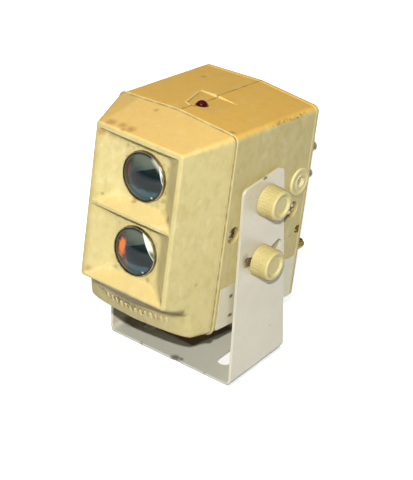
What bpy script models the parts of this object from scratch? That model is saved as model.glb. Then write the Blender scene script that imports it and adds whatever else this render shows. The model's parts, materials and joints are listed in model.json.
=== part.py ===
"""Twin-lens photoelectric sensor head, tilting on a sheet-metal U-bracket.

Lengths are metres and +Z is up. The lenses face -Y, +X is to the right of a person who
faces the lenses, and the origin is the middle of the bracket's underside. The head is
designed about its tilt axis: every point of a piece on the head is given from that axis
with the head upright, and the empty "tilt_axis" places and leans the whole head.
"""
import math

import bmesh
import bpy
from mathutils import Matrix, Vector

MM = 0.001

# Fits
GAP = 0.3 * MM              # between faces that touch
SHANK_FIT = 0.3 * MM        # round a shank, stud or spigot
CUT = 1.0 * MM              # how far a cutter runs past the face it opens
SINK = 0.6 * MM             # how deep a boss or a rib reaches into the wall it grows from

# Main housing, in front view and from the tilt axis
BODY_WIDTH = 78.6 * MM
BODY_TOP = 41.3 * MM        # the roof's side edge
ROOF_RISE = 2.5 * MM        # the ridge above that edge
BODY_BOTTOM = -73.0 * MM
KEEL_DROP = 2.0 * MM
BODY_FRONT = -29.6 * MM     # the seam behind the snout
BODY_REAR = 45.2 * MM       # the rear cover's outer face
BODY_CORNER = 3.6 * MM
WALL = 2.4 * MM
BEAD_WIDTH = 1.5 * MM
BEAD_PROUD = 0.7 * MM
BEAD_EDGE = 0.3 * MM
COVER_THICKNESS = 2.9 * MM

# Snout: the front housing, which narrows from the seam to the lens frame
SNOUT_LENGTH = 30.6 * MM
SNOUT_SIDE_INSET = 10.5 * MM
SNOUT_TOP_DROP = 5.8 * MM
FRAME_LIFT = 19.5 * MM      # the lens frame's lower edge above the body's bottom
FRAME_CORNER = 1.8 * MM
FRAME_RIM = 2.8 * MM
FRAME_TOP_RIM = 3.3 * MM
FRAME_BOTTOM_RIM = 1.9 * MM
CHIN_TOP_REACH = 21.9 * MM
CHIN_TOP_LIFT = 14.0 * MM
CHIN_TOP_KEEL = 3.4 * MM
CHIN_BOTTOM_REACH = 16.4 * MM
CHIN_TOP_BOW = 4.5 * MM
CHIN_BOTTOM_BOW = 3.4 * MM
RECESS_DEPTH = 8.8 * MM
RECESS_FLAT = 1.8 * MM      # the flat border round a lens ring
RECESS_DIVIDER = 2.4 * MM
RECESS_WALL = 2.4 * MM
GASKET_WIDTH = 0.8 * MM
GASKET_DEPTH = 0.9 * MM

# Optics
LENS_RADIUS = 12.3 * MM
LENS_EDGE = 3.4 * MM
LENS_CROWN = 3.8 * MM
LENS_REST = 1.7 * MM        # how far the lens edge stands behind the recess wall's face
RING_WALL = 1.0 * MM
RING_LENGTH = 2.2 * MM
TUBE_FLANGE = 1.3 * MM
TUBE_WALL = 1.2 * MM
TUBE_LENGTH = 34.9 * MM
TUBE_REAR_RADIUS = 7.0 * MM
TUBE_REAR_FLANGE = 9.0 * MM
BOARD = 1.6 * MM
EMITTER_RADIUS = 2.5 * MM
EMITTER_LENGTH = 6.0 * MM
RECEIVER_SIZE = 7.0 * MM
RECEIVER_LENGTH = 2.6 * MM

# Tilt and clamping hardware
SHEET = 1.6 * MM
SIDE_GAP = 2.1 * MM         # between the housing and each bracket arm
STUD_RADIUS = 2.4 * MM
STUD_DEPTH = 8.4 * MM       # how far a tight stud reaches inside the housing
HOLE_FIT = 0.5 * MM         # round a stud in the bracket
LOCK_DROP = 35.8 * MM       # the lock stud below the tilt axis
LOCK_SETBACK = 1.5 * MM
INSERT_RADIUS = 4.0 * MM
INSERT_LENGTH = 8.3 * MM
INSERT_BOSS = 6.5 * MM
FRICTION_WASHER_RADIUS = 8.0 * MM
KNOB_BASE_RADIUS = 9.2 * MM
KNOB_FACE_RADIUS = 8.6 * MM
KNOB_HEIGHT = 10.4 * MM
KNOB_CLEARANCE = 0.5 * MM   # between the knob's rim and the arm
KNOB_DISH_RADIUS = 6.3 * MM
KNOB_DISH_DEPTH = 1.2 * MM
KNOB_ROOF = 2.2 * MM        # plastic between the stud's end and the dish
KNOB_FLUTES = 15
KNOB_FLUTE_DEPTH = 0.25 * MM
CAPTIVE_WASHER_RADIUS = 7.0 * MM
CAPTIVE_WASHER_THICKNESS = 1.1 * MM

# Bracket
REST_LEAN = math.radians(10.0)      # the lenses look up by this much at rest
TILT_UP = math.radians(19.0)        # from rest
TILT_DOWN = math.radians(27.0)
AXIS_SETBACK = 4.0 * MM             # the tilt axis behind the middle of the base
SWING_CLEARANCE = 19.6 * MM         # under the head's lowest corner at any tilt
ARM_ABOVE_AXIS = 13.8 * MM
ARM_TOP_FRONT = 19.5 * MM           # the arm's top corners from the axis
ARM_TOP_REAR = 15.4 * MM
ARM_CORNER = 4.0 * MM
BASE_DEPTH = 48.8 * MM
BEND_RADIUS = 2.4 * MM
BASE_SLOT_WIDTH = 8.4 * MM
BASE_SLOT_LENGTH = 24.6 * MM
BASE_SLOT_INSET = 14.5 * MM         # from the arm's inner face to the slot's middle
BASE_NOTCH_WIDTH = 7.6 * MM
BASE_NOTCH_DEPTH = 0.7 * MM
BASE_NOTCH_OFFSET = 5.3 * MM

# Housing screws
SIDE_SCREW_RADIUS = 1.7 * MM
SIDE_SCREW_HEAD = 4.0 * MM
SIDE_SCREW_HEAD_LENGTH = 2.6 * MM
SIDE_SCREW_POCKET = 4.6 * MM
SIDE_SCREW_SUNK = 4.0 * MM
SIDE_SCREW_DROP = 16.4 * MM
SIDE_SCREW_FRONT = -20.9 * MM
SIDE_SCREW_REAR = 32.7 * MM
SIDE_SCREW_LENGTH = 62.0 * MM
SIDE_BOSS = 3.6 * MM
COVER_SCREW_RADIUS = 1.6 * MM
COVER_SCREW_INSET = 4.0 * MM
COVER_SCREW_TOP = 15.7 * MM
COVER_SCREW_BOTTOM = -43.4 * MM
COVER_SCREW_LENGTH = 10.0 * MM
COVER_BOSS = 3.2 * MM
COVER_BOSS_LENGTH = 12.0 * MM
CAP_HEAD_RADIUS = 2.9 * MM
CAP_HEAD_LENGTH = 4.8 * MM
THUMB_HEAD_RADIUS = 3.3 * MM
THUMB_HEAD_LENGTH = 6.4 * MM
GROUND_SCREW_HEIGHT = -0.3 * MM
GROUND_HEAD_RADIUS = 2.8 * MM
GROUND_HEAD_LENGTH = 4.6 * MM
GROUND_SHANK = 5.0 * MM
DRIVE_SLOT = 0.9 * MM
DRIVE_SLOT_DEPTH = 1.0 * MM

# Fittings on the right side and the roof
POT_Y = 34.4 * MM           # the sensitivity adjuster, level with the tilt axis
PLUG_RADIUS = 8.2 * MM
PLUG_PROUD = 1.3 * MM
PLUG_NECK = 6.0 * MM
PLUG_BORE = 3.2 * MM
ROTOR_RADIUS = 2.6 * MM
ROTOR_SUNK = 1.7 * MM       # the adjuster's tip below the plug's face
ROTOR_SLOT = 0.9 * MM
POT_SIZE = 9.5 * MM
POT_DEPTH = 9.2 * MM
LABEL_LENGTH = 67.6 * MM
LABEL_HEIGHT = 24.8 * MM
LABEL_THICKNESS = 0.3 * MM
LABEL_FRONT = 3.2 * MM      # from the seam
LABEL_LIFT = 1.8 * MM       # from the body's bottom edge
NOTCH_RADIUS = 2.3 * MM
NOTCH_HEIGHT = -30.3 * MM
NOTCH_REACH = 2.0 * MM
POCKET_DEPTH = 0.9 * MM     # the lamp's pocket under the ridge
POCKET_FRONT = -17.5 * MM
POCKET_REAR = 4.0 * MM
POCKET_RIGHT = 13.0 * MM
TAB_LEFT = 10.2 * MM
TAB_FRONT_LEFT = 4.6 * MM
TAB_FRONT_SHOULDER = 2.0 * MM
LAMP_X = 1.5 * MM
LAMP_Y = -11.0 * MM
LAMP_RADIUS = 3.5 * MM
LAMP_CROWN = 2.5 * MM
LAMP_BODY = 6.0 * MM
LAMP_FLANGE = 4.4 * MM

# Boards and what is on them
MAIN_BOARD_INSET = 18.3 * MM        # the board's outer face from the housing's side
MAIN_BOARD_FRONT = -8.0 * MM
MAIN_BOARD_REAR = 38.0 * MM
MAIN_BOARD_TOP = 30.0 * MM
MAIN_BOARD_BOTTOM = -62.0 * MM
STANDOFF_RADIUS = 2.5 * MM
STANDOFF_INSET = 5.0 * MM
RELAY = (16.0 * MM, 18.0 * MM, 20.0 * MM)
RELAY_FRONT = 8.0 * MM
RELAY_LOW = -6.0 * MM
TRANSFORMER_CORE = (26.0 * MM, 26.0 * MM, 28.0 * MM)
TRANSFORMER_FRONT = 3.0 * MM
TRANSFORMER_LOW = -61.0 * MM
TRANSFORMER_WINDING = 3.0 * MM
CAPACITOR_RADIUS = 5.5 * MM
CAPACITOR_LENGTH = 17.0 * MM
CAPACITOR_Y = 2.0 * MM
CAPACITOR_Z = 24.0 * MM
OPTICS_BOARD_HALF_WIDTH = 14.0 * MM
OPTICS_BOARD_MARGIN = 11.5 * MM
TERMINAL_BLOCK = (18.0 * MM, 11.5 * MM, 32.0 * MM)
TERMINAL_BLOCK_INSET = 9.3 * MM
TERMINAL_BLOCK_LOW = -6.0 * MM
TERMINAL_COUNT = 4
TERMINAL_RADIUS = 2.6 * MM
TERMINAL_DEPTH = 2.0 * MM
GLAND_HEIGHT = -52.0 * MM
GLAND_BORE = 4.4 * MM
GLAND_THREAD = 7.8 * MM
GLAND_HEX = 10.5 * MM
GLAND_HEX_LENGTH = 4.0 * MM
GLAND_CAP_RADIUS = 8.6 * MM
GLAND_CAP_LENGTH = 6.0 * MM
GLAND_INSIDE = 5.0 * MM
LOCKNUT_HEX = 10.5 * MM
LOCKNUT_LENGTH = 3.0 * MM

# Worked out from the sizes above
HALF = BODY_WIDTH / 2
FRAME_Y = BODY_FRONT - SNOUT_LENGTH
FRAME_HALF = HALF - SNOUT_SIDE_INSET
FRAME_TOP = BODY_TOP - SNOUT_TOP_DROP
FRAME_BOTTOM = BODY_BOTTOM + FRAME_LIFT
SNOUT_REAR = BODY_FRONT - GAP
RECESS_Y = FRAME_Y + RECESS_DEPTH
RECESS_BOTTOM = FRAME_BOTTOM + FRAME_BOTTOM_RIM
RECESS_TOP = FRAME_TOP - FRAME_TOP_RIM
RECESS_HEIGHT = (RECESS_TOP - RECESS_BOTTOM - RECESS_DIVIDER) / 2
LOWER_RECESS = (RECESS_BOTTOM, RECESS_BOTTOM + RECESS_HEIGHT)
UPPER_RECESS = (RECESS_TOP - RECESS_HEIGHT, RECESS_TOP)
LENS_CENTRES = {"upper": sum(UPPER_RECESS) / 2, "lower": sum(LOWER_RECESS) / 2}
GASKET_INSET = (WALL - GASKET_WIDTH) / 2
SHELL_REAR = BODY_REAR - COVER_THICKNESS - GAP
COVER_FRONT = BODY_REAR - COVER_THICKNESS
RIDGE = BODY_TOP + ROOF_RISE
POCKET_FLOOR = RIDGE - POCKET_DEPTH
ARM_INNER = HALF + SIDE_GAP
ARM_OUTER = ARM_INNER + SHEET
AXIS_HEIGHT = math.hypot(BODY_REAR, BODY_BOTTOM - KEEL_DROP) + SWING_CLEARANCE
BRACKET_HEIGHT = AXIS_HEIGHT + ARM_ABOVE_AXIS
HOLE_RADIUS = STUD_RADIUS + HOLE_FIT
LOCK_RADIUS = math.hypot(LOCK_DROP, LOCK_SETBACK)
LOCK_ANGLE = math.atan2(LOCK_SETBACK, LOCK_DROP) - REST_LEAN
STUDS = {"upper": (0.0, 0.0), "lower": (LOCK_SETBACK, -LOCK_DROP)}
BOARD_OUTER = HALF - MAIN_BOARD_INSET
BOARD_INNER = BOARD_OUTER - BOARD
COVER_SCREW_X = HALF - COVER_SCREW_INSET
TUBE_FRONT = RECESS_Y + RECESS_WALL + GAP
OPTICS_BOARD_Y = TUBE_FRONT + TUBE_LENGTH + GAP

ROUND = 28
SMALL_ROUND = 16
CORNER_STEPS = 3


# ---------------------------------------------------------------- materials
def material(name, colour, roughness, metallic=0.0, transmission=0.0):
    made = bpy.data.materials.new(name)
    made.use_nodes = True
    made.diffuse_color = (*colour, 1.0)
    shader = made.node_tree.nodes["Principled BSDF"]
    shader.inputs["Base Color"].default_value = (*colour, 1.0)
    shader.inputs["Roughness"].default_value = roughness
    shader.inputs["Metallic"].default_value = metallic
    shader.inputs["Transmission Weight"].default_value = transmission
    return made


# ---------------------------------------------------------------- outlines
def arc(centre, radius, start, end, steps):
    """Points on an arc in a plane, from start to end in radians."""
    turns = [start + (end - start) * i / steps for i in range(steps + 1)]
    return [(centre[0] + radius * math.cos(t), centre[1] + radius * math.sin(t)) for t in turns]


def circle(centre, radius, steps=SMALL_ROUND):
    return arc(centre, radius, 0.0, math.tau * (steps - 1) / steps, steps - 1)


def rectangle(u_low, u_high, v_low, v_high):
    return [(u_low, v_low), (u_high, v_low), (u_high, v_high), (u_low, v_high)]


def hexagon(centre, radius):
    return circle(centre, radius, 6)


def rounded(corners, radii):
    """A polygon with each corner replaced by an arc of its own radius."""
    points = []
    for index, corner in enumerate(corners):
        here = Vector(corner)
        before = (Vector(corners[index - 1]) - here).normalized()
        after = (Vector(corners[(index + 1) % len(corners)]) - here).normalized()
        radius = radii[index]
        if radius <= 0:
            points.append(tuple(here))
            continue
        half = before.angle(after) / 2
        start = here + before * (radius / math.tan(half))
        centre = here + (before + after).normalized() * (radius / math.sin(half))
        first = start - centre
        swing = math.pi - 2 * half
        side = 1.0 if before.x * after.y - before.y * after.x < 0 else -1.0
        for step in range(CORNER_STEPS + 1):
            turn = Matrix.Rotation(side * swing * step / CORNER_STEPS, 2)
            points.append(tuple(centre + turn @ first))
    return points


def slot_outline(centre, half_length, radius):
    """A straight slot along the second axis."""
    u, v = centre
    top = arc((u, v + half_length - radius), radius, 0.0, math.pi, SMALL_ROUND // 2)
    bottom = arc((u, v - half_length + radius), radius, math.pi, math.tau, SMALL_ROUND // 2)
    return top + bottom


def body_outline(inset=0.0):
    """The housing's full cross-section in x and z, moved in by inset all round."""
    half = HALF - inset
    top = BODY_TOP - inset
    bottom = BODY_BOTTOM + inset
    corners = [(half, bottom), (half, top), (0.0, top + ROOF_RISE), (-half, top), (-half, bottom),
               (0.0, bottom - KEEL_DROP)]
    radius = max(BODY_CORNER - inset, 0.5 * MM)
    return rounded(corners, [radius, radius, 0.0, radius, radius, 0.0])


def half_shell_outline(side, proud=0.0):
    """One housing half's C-shaped cross-section; side is +1 for the right half."""
    split = GAP / 2

    def lip(inset):
        half = HALF - inset
        top = BODY_TOP - inset
        bottom = BODY_BOTTOM + inset
        slope = ROOF_RISE * (1 - split / HALF)
        keel = KEEL_DROP * (1 - split / HALF)
        corners = [(split, bottom - keel), (half, bottom), (half, top), (split, top + slope)]
        radius = max(BODY_CORNER - inset, 0.5 * MM)
        return rounded(corners, [0.0, radius, radius, 0.0])

    outer = lip(-proud)
    inner = lip(WALL)
    return [(side * x, z) for x, z in outer + inner[::-1]]


def snout_share(y):
    return (BODY_FRONT - y) / SNOUT_LENGTH


def snout_ring(top_y, bottom_y, bottom, keel, bow, inset=0.0):
    """One cross-section of the snout, whose lower edge may bow forward in plan."""
    share = snout_share(top_y)
    top = BODY_TOP - SNOUT_TOP_DROP * share - inset
    rise = ROOF_RISE * (1 - share)
    top_half = HALF - SNOUT_SIDE_INSET * share - inset
    corner_y = bottom_y + bow
    bottom_half = HALF - SNOUT_SIDE_INSET * snout_share(corner_y) - inset
    radius = BODY_CORNER + (FRAME_CORNER - BODY_CORNER) * share
    corners = [(bottom_half, bottom), (top_half, top), (0.0, top + rise), (-top_half, top),
               (-bottom_half, bottom)]
    outline = rounded(corners, [radius, radius, 0.0, radius, radius])
    spread = [bottom_half * k / 4 for k in range(-3, 4)]
    outline += [(x, bottom - keel * (1 - abs(x) / bottom_half)) for x in spread]
    middle = (top + bottom) / 2
    points = []
    for x, z in outline:
        y = top_y if z > middle else bottom_y + bow * min(abs(x) / bottom_half, 1.0) ** 2
        points.append((x, y, z))
    return points


# ---------------------------------------------------------------- solids
def loft(rings):
    """A closed solid through rings of equally many points, capped at both ends."""
    shape = bmesh.new()
    loops = [[shape.verts.new(point) for point in ring] for ring in rings]
    count = len(loops[0])
    for near, far in zip(loops, loops[1:]):
        for i in range(count):
            j = (i + 1) % count
            shape.faces.new((near[i], near[j], far[j], far[i]))
    shape.faces.new(loops[0])
    shape.faces.new(loops[-1])
    bmesh.ops.recalc_face_normals(shape, faces=shape.faces)
    return shape


def along(axis, distance, u, v):
    """A point from its distance along an axis and its place across it."""
    if axis == "X":
        return (distance, u, v)
    if axis == "Y":
        return (u, distance, v)
    return (u, v, distance)


def prism(outline, axis, start, end):
    return loft([[along(axis, d, u, v) for u, v in outline] for d in (start, end)])


def block(low, high):
    outline = rectangle(low[1], high[1], low[2], high[2])
    return prism(outline, "X", low[0], high[0])


def frame_ring(outer, inner, axis, start, end):
    """A closed band between two outlines of equally many points."""
    rings = []
    for outline, distance in ((outer, start), (outer, end), (inner, end), (inner, start)):
        rings.append([along(axis, distance, u, v) for u, v in outline])
    shape = bmesh.new()
    loops = [[shape.verts.new(point) for point in ring] for ring in rings]
    count = len(loops[0])
    for near, far in zip(loops, loops[1:] + loops[:1]):
        for i in range(count):
            j = (i + 1) % count
            shape.faces.new((near[i], near[j], far[j], far[i]))
    bmesh.ops.recalc_face_normals(shape, faces=shape.faces)
    return shape


def turned(profile, axis, centre=(0.0, 0.0), steps=ROUND, direction=1.0):
    """A solid of revolution from (distance, radius) pairs; a radius of 0 is on the axis.

    A profile that never meets the axis is closed on itself, as a ring.
    """
    shape = bmesh.new()
    loops = []
    for distance, radius in profile:
        ring = circle(centre, radius, steps) if radius > 0 else [centre]
        loops.append([shape.verts.new(along(axis, direction * distance, u, v)) for u, v in ring])
    open_ended = len(loops[0]) == 1
    pairs = list(zip(loops, loops[1:]))
    if not open_ended:
        pairs.append((loops[-1], loops[0]))
    for near, far in pairs:
        for i in range(steps):
            j = (i + 1) % steps
            if len(near) == 1:
                shape.faces.new((near[0], far[i], far[j]))
            elif len(far) == 1:
                shape.faces.new((near[i], near[j], far[0]))
            else:
                shape.faces.new((near[i], near[j], far[j], far[i]))
    bmesh.ops.recalc_face_normals(shape, faces=shape.faces)
    return shape


def rod(axis, centre, radius, start, end, steps=SMALL_ROUND, direction=1.0):
    profile = [(start, 0.0), (start, radius), (end, radius), (end, 0.0)]
    return turned(profile, axis, centre, steps, direction)


def tube(axis, centre, inner, outer, start, end, steps=SMALL_ROUND, direction=1.0):
    profile = [(start, inner), (start, outer), (end, outer), (end, inner)]
    return turned(profile, axis, centre, steps, direction)


def merged(shapes):
    """Several separate solids in one mesh, for a cutter or a set of bosses."""
    together = bmesh.new()
    for shape in shapes:
        holder = bpy.data.meshes.new("holder")
        shape.to_mesh(holder)
        shape.free()
        together.from_mesh(holder)
        bpy.data.meshes.remove(holder)
    return together


# ---------------------------------------------------------------- objects
def mesh_object(name, shape, finish=None, parent=None, smooth=False):
    mesh = bpy.data.meshes.new(name)
    shape.to_mesh(mesh)
    shape.free()
    if smooth:
        mesh.shade_smooth()
        mesh.set_sharp_from_angle(angle=math.radians(35))
    piece = bpy.data.objects.new(name, mesh)
    bpy.context.scene.collection.objects.link(piece)
    if finish:
        mesh.materials.append(finish)
    piece.parent = parent
    return piece


def helper(name, shape, parent=None):
    """A shape that only cuts or joins, and isn't a piece."""
    guide = mesh_object(name, shape, parent=parent)
    guide.hide_render = True
    guide.display_type = "WIRE"
    return guide


def boolean(piece, guide, operation):
    change = piece.modifiers.new(guide.name, "BOOLEAN")
    change.operation = operation
    change.solver = "EXACT"
    change.object = guide


def cut(piece, shape, label):
    guide = helper(f"{piece.name}.{label}", shape, piece.parent)
    boolean(piece, guide, "DIFFERENCE")


def join(piece, shape, label):
    guide = helper(f"{piece.name}.{label}", shape, piece.parent)
    boolean(piece, guide, "UNION")


def empty(name, location=(0.0, 0.0, 0.0), lean=0.0, parent=None):
    axis = bpy.data.objects.new(name, None)
    axis.location = location
    axis.rotation_euler = (lean, 0.0, 0.0)
    axis.parent = parent
    bpy.context.scene.collection.objects.link(axis)
    return axis


# ---------------------------------------------------------------- bracket
def arm_outline():
    """One arm in y and z: wide at the base, narrower at its rounded top."""
    half = BASE_DEPTH / 2
    corners = [(-half, 0.0), (half, 0.0), (AXIS_SETBACK + ARM_TOP_REAR, BRACKET_HEIGHT),
               (AXIS_SETBACK - ARM_TOP_FRONT, BRACKET_HEIGHT)]
    return rounded(corners, [0.0, 0.0, ARM_CORNER, ARM_CORNER])


def arc_slot_outline():
    """The lock stud's slot: a band about the tilt axis with round ends."""
    down = -math.pi / 2
    first = down + LOCK_ANGLE - TILT_UP
    last = down + LOCK_ANGLE + TILT_DOWN
    centre = (AXIS_SETBACK, AXIS_HEIGHT)
    inner = LOCK_RADIUS - HOLE_RADIUS
    outer = LOCK_RADIUS + HOLE_RADIUS
    steps = SMALL_ROUND // 2

    def end_centre(turn):
        return (centre[0] + LOCK_RADIUS * math.cos(turn), centre[1] + LOCK_RADIUS * math.sin(turn))

    outline = arc(centre, outer, first, last, steps)
    outline += arc(end_centre(last), HOLE_RADIUS, last, last + math.pi, steps)[1:-1]
    outline += arc(centre, inner, last, first, steps)
    outline += arc(end_centre(first), HOLE_RADIUS, first + math.pi, first + math.tau, steps)[1:-1]
    return outline


def bracket(finish):
    """A strip bent into a U, cut by the arms' tapered outline."""
    outer_bend = BEND_RADIUS + SHEET
    outer = rounded([(-ARM_OUTER, 0.0), (ARM_OUTER, 0.0), (ARM_OUTER, BRACKET_HEIGHT),
                     (-ARM_OUTER, BRACKET_HEIGHT)], [outer_bend, outer_bend, 0.0, 0.0])
    inner = rounded([(-ARM_INNER, SHEET), (ARM_INNER, SHEET), (ARM_INNER, BRACKET_HEIGHT + CUT),
                     (-ARM_INNER, BRACKET_HEIGHT + CUT)], [BEND_RADIUS, BEND_RADIUS, 0.0, 0.0])
    piece = mesh_object("bracket", prism(outer, "Y", -BASE_DEPTH, BASE_DEPTH), finish)
    cut(piece, prism(inner, "Y", -BASE_DEPTH - CUT, BASE_DEPTH + CUT), "inside")
    blank = helper("bracket.blank", prism(arm_outline(), "X", -ARM_OUTER - CUT, ARM_OUTER + CUT))
    boolean(piece, blank, "INTERSECT")
    reach = ARM_OUTER + CUT
    holes = [prism(circle((AXIS_SETBACK, AXIS_HEIGHT), HOLE_RADIUS), "X", -reach, reach),
             prism(arc_slot_outline(), "X", -reach, reach)]
    for side in (-1, 1):
        middle = (side * (ARM_INNER - BASE_SLOT_INSET), 0.0)
        outline = slot_outline(middle, BASE_SLOT_LENGTH / 2, BASE_SLOT_WIDTH / 2)
        holes.append(prism(outline, "Z", -CUT, SHEET + CUT))
    notch_left = BASE_NOTCH_OFFSET - BASE_NOTCH_WIDTH / 2
    notch = rectangle(notch_left, notch_left + BASE_NOTCH_WIDTH, -BASE_DEPTH / 2 - CUT,
                      -BASE_DEPTH / 2 + BASE_NOTCH_DEPTH)
    holes.append(prism(notch, "Z", -CUT, SHEET + CUT))
    cut(piece, merged(holes), "holes")


# ---------------------------------------------------------------- front housing
def recess_cutter(low, high):
    """A lens recess: a four-sided funnel from the frame down to a flat round the lens ring."""
    half_width = FRAME_HALF - FRAME_RIM
    half_height = (high - low) / 2
    middle = (high + low) / 2
    flat = LENS_RADIUS + GAP + RING_WALL + RECESS_FLAT
    rings = []
    for y in (FRAME_Y - CUT, RECESS_Y):
        share = (y - FRAME_Y) / RECESS_DEPTH
        half = half_width + (flat - half_width) * share
        reach = half_height + (flat - half_height) * share
        outline = rectangle(-half, half, middle - reach, middle + reach)
        rings.append([(x, y, z) for x, z in outline])
    return loft(rings)


def front_housing(finish, head):
    rings = [
        snout_ring(FRAME_Y, FRAME_Y, FRAME_BOTTOM, 0.0, 0.0),
        snout_ring(BODY_FRONT - CHIN_TOP_REACH, BODY_FRONT - CHIN_TOP_REACH,
                   BODY_BOTTOM + CHIN_TOP_LIFT, CHIN_TOP_KEEL, CHIN_TOP_BOW),
        snout_ring(BODY_FRONT - CHIN_BOTTOM_REACH, BODY_FRONT - CHIN_BOTTOM_REACH,
                   BODY_BOTTOM, KEEL_DROP / 2, CHIN_BOTTOM_BOW),
        snout_ring(SNOUT_REAR, SNOUT_REAR, BODY_BOTTOM, KEEL_DROP, 0.0),
    ]
    piece = mesh_object("front_housing", loft(rings), finish, head)
    cavity_front = RECESS_Y + RECESS_WALL
    chin_inside = BODY_FRONT - CHIN_BOTTOM_REACH + WALL * 1.2
    cavity = [
        snout_ring(cavity_front, cavity_front, FRAME_BOTTOM - WALL, 0.0, 0.0, WALL),
        snout_ring(chin_inside, chin_inside, BODY_BOTTOM + WALL, KEEL_DROP / 2,
                   CHIN_BOTTOM_BOW, WALL),
        snout_ring(SNOUT_REAR, SNOUT_REAR, BODY_BOTTOM + WALL, KEEL_DROP, 0.0, WALL),
        snout_ring(SNOUT_REAR + CUT, SNOUT_REAR + CUT, BODY_BOTTOM + WALL, KEEL_DROP, 0.0, WALL),
    ]
    cut(piece, loft(cavity), "cavity")
    cut(piece, merged([recess_cutter(*LOWER_RECESS), recess_cutter(*UPPER_RECESS)]), "recesses")
    holes = []
    for centre in LENS_CENTRES.values():
        holes.append(rod("Y", (0.0, centre), LENS_RADIUS + GAP, RECESS_Y - CUT,
                         cavity_front + CUT, ROUND))
    outer = body_outline(GASKET_INSET - GAP)
    inner = body_outline(GASKET_INSET + GASKET_WIDTH + GAP)
    holes.append(frame_ring(outer, inner, "Y", SNOUT_REAR - GASKET_DEPTH - GAP, SNOUT_REAR + CUT))
    cut(piece, merged(holes), "holes")


def gasket(finish, head):
    outer = body_outline(GASKET_INSET)
    inner = body_outline(GASKET_INSET + GASKET_WIDTH)
    shape = frame_ring(outer, inner, "Y", SNOUT_REAR - GASKET_DEPTH, SNOUT_REAR)
    mesh_object("seam_gasket", shape, finish, head)


# ---------------------------------------------------------------- housing halves
def tab_outline(clearance):
    """The part of the roof around the lamp that reaches over the centre line."""
    return [(CUT, POCKET_FRONT - clearance),
            (-TAB_FRONT_LEFT - clearance, POCKET_FRONT + TAB_FRONT_SHOULDER - clearance),
            (-TAB_LEFT - clearance, POCKET_REAR - TAB_FRONT_SHOULDER),
            (-TAB_LEFT - clearance, POCKET_REAR + clearance),
            (CUT, POCKET_REAR + clearance)]


def half_shell(name, side, finish, head):
    stations = [(BODY_FRONT, BEAD_PROUD), (BODY_FRONT + BEAD_WIDTH - BEAD_EDGE, BEAD_PROUD),
                (BODY_FRONT + BEAD_WIDTH, 0.0), (SHELL_REAR, 0.0)]
    rings = []
    for y, proud in stations:
        rings.append([(x, y, z) for x, z in half_shell_outline(side, proud)])
    piece = mesh_object(name, loft(rings), finish, head)
    inner_wall = HALF - WALL + SINK
    floor = HALF - SIDE_SCREW_SUNK
    bosses = []
    for y, z in STUDS.values():
        bosses.append(rod("X", (y, z), INSERT_BOSS, HALF - INSERT_LENGTH - 2 * GAP - WALL / 2,
                          inner_wall, direction=side))
    for y in (SIDE_SCREW_FRONT, SIDE_SCREW_REAR):
        profile = [(GAP / 2, 0.0), (GAP / 2, SIDE_BOSS), (floor - WALL, SIDE_BOSS),
                   (floor - WALL, SIDE_SCREW_POCKET + WALL * 0.7),
                   (inner_wall, SIDE_SCREW_POCKET + WALL * 0.7), (inner_wall, 0.0)]
        bosses.append(turned(profile, "X", (y, -SIDE_SCREW_DROP), SMALL_ROUND, side))
    for z in (COVER_SCREW_TOP, COVER_SCREW_BOTTOM):
        bosses.append(rod("Y", (side * COVER_SCREW_X, z), COVER_BOSS,
                          SHELL_REAR - COVER_BOSS_LENGTH, SHELL_REAR))
    if side > 0:
        for y in (MAIN_BOARD_FRONT + STANDOFF_INSET, MAIN_BOARD_REAR - STANDOFF_INSET - WALL):
            for z in (MAIN_BOARD_BOTTOM + STANDOFF_INSET, MAIN_BOARD_TOP - STANDOFF_INSET):
                bosses.append(rod("X", (y, z), STANDOFF_RADIUS, BOARD_OUTER + GAP, inner_wall,
                                  SMALL_ROUND // 2))
    join(piece, merged(bosses), "bosses")
    bores = []
    for y, z in STUDS.values():
        bores.append(rod("X", (y, z), INSERT_RADIUS + GAP, HALF - INSERT_LENGTH - 2 * GAP,
                         HALF + CUT, direction=side))
    for z in (COVER_SCREW_TOP, COVER_SCREW_BOTTOM):
        bores.append(rod("Y", (side * COVER_SCREW_X, z), COVER_SCREW_RADIUS + SHANK_FIT,
                         SHELL_REAR - COVER_SCREW_LENGTH, SHELL_REAR + CUT, SMALL_ROUND // 2))
    shank = SIDE_SCREW_RADIUS + SHANK_FIT
    for y in (SIDE_SCREW_FRONT, SIDE_SCREW_REAR):
        if side > 0:
            profile = [(-CUT, 0.0), (-CUT, shank), (floor, shank), (floor, SIDE_SCREW_POCKET),
                       (HALF + CUT, SIDE_SCREW_POCKET), (HALF + CUT, 0.0)]
            bores.append(turned(profile, "X", (y, -SIDE_SCREW_DROP), SMALL_ROUND))
        else:
            depth = SIDE_SCREW_LENGTH - floor + 2 * WALL
            bores.append(rod("X", (y, -SIDE_SCREW_DROP), shank, -CUT, depth, direction=side))
    if side > 0:
        bores.append(rod("X", (POT_Y, 0.0), PLUG_NECK + GAP, HALF - WALL - CUT, HALF + CUT, ROUND))
        notch_y = SHELL_REAR - NOTCH_REACH
        notch = arc((notch_y, NOTCH_HEIGHT), NOTCH_RADIUS, math.pi / 2, 3 * math.pi / 2, 10)
        notch += [(SHELL_REAR + CUT, NOTCH_HEIGHT - NOTCH_RADIUS),
                  (SHELL_REAR + CUT, NOTCH_HEIGHT + NOTCH_RADIUS)]
        bores.append(prism(notch, "X", HALF - WALL - CUT, HALF + CUT))
    else:
        bores.append(prism(tab_outline(GAP), "Z", BODY_TOP - 2 * WALL, RIDGE + CUT))
    cut(piece, merged(bores), "bores")
    return piece


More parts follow.
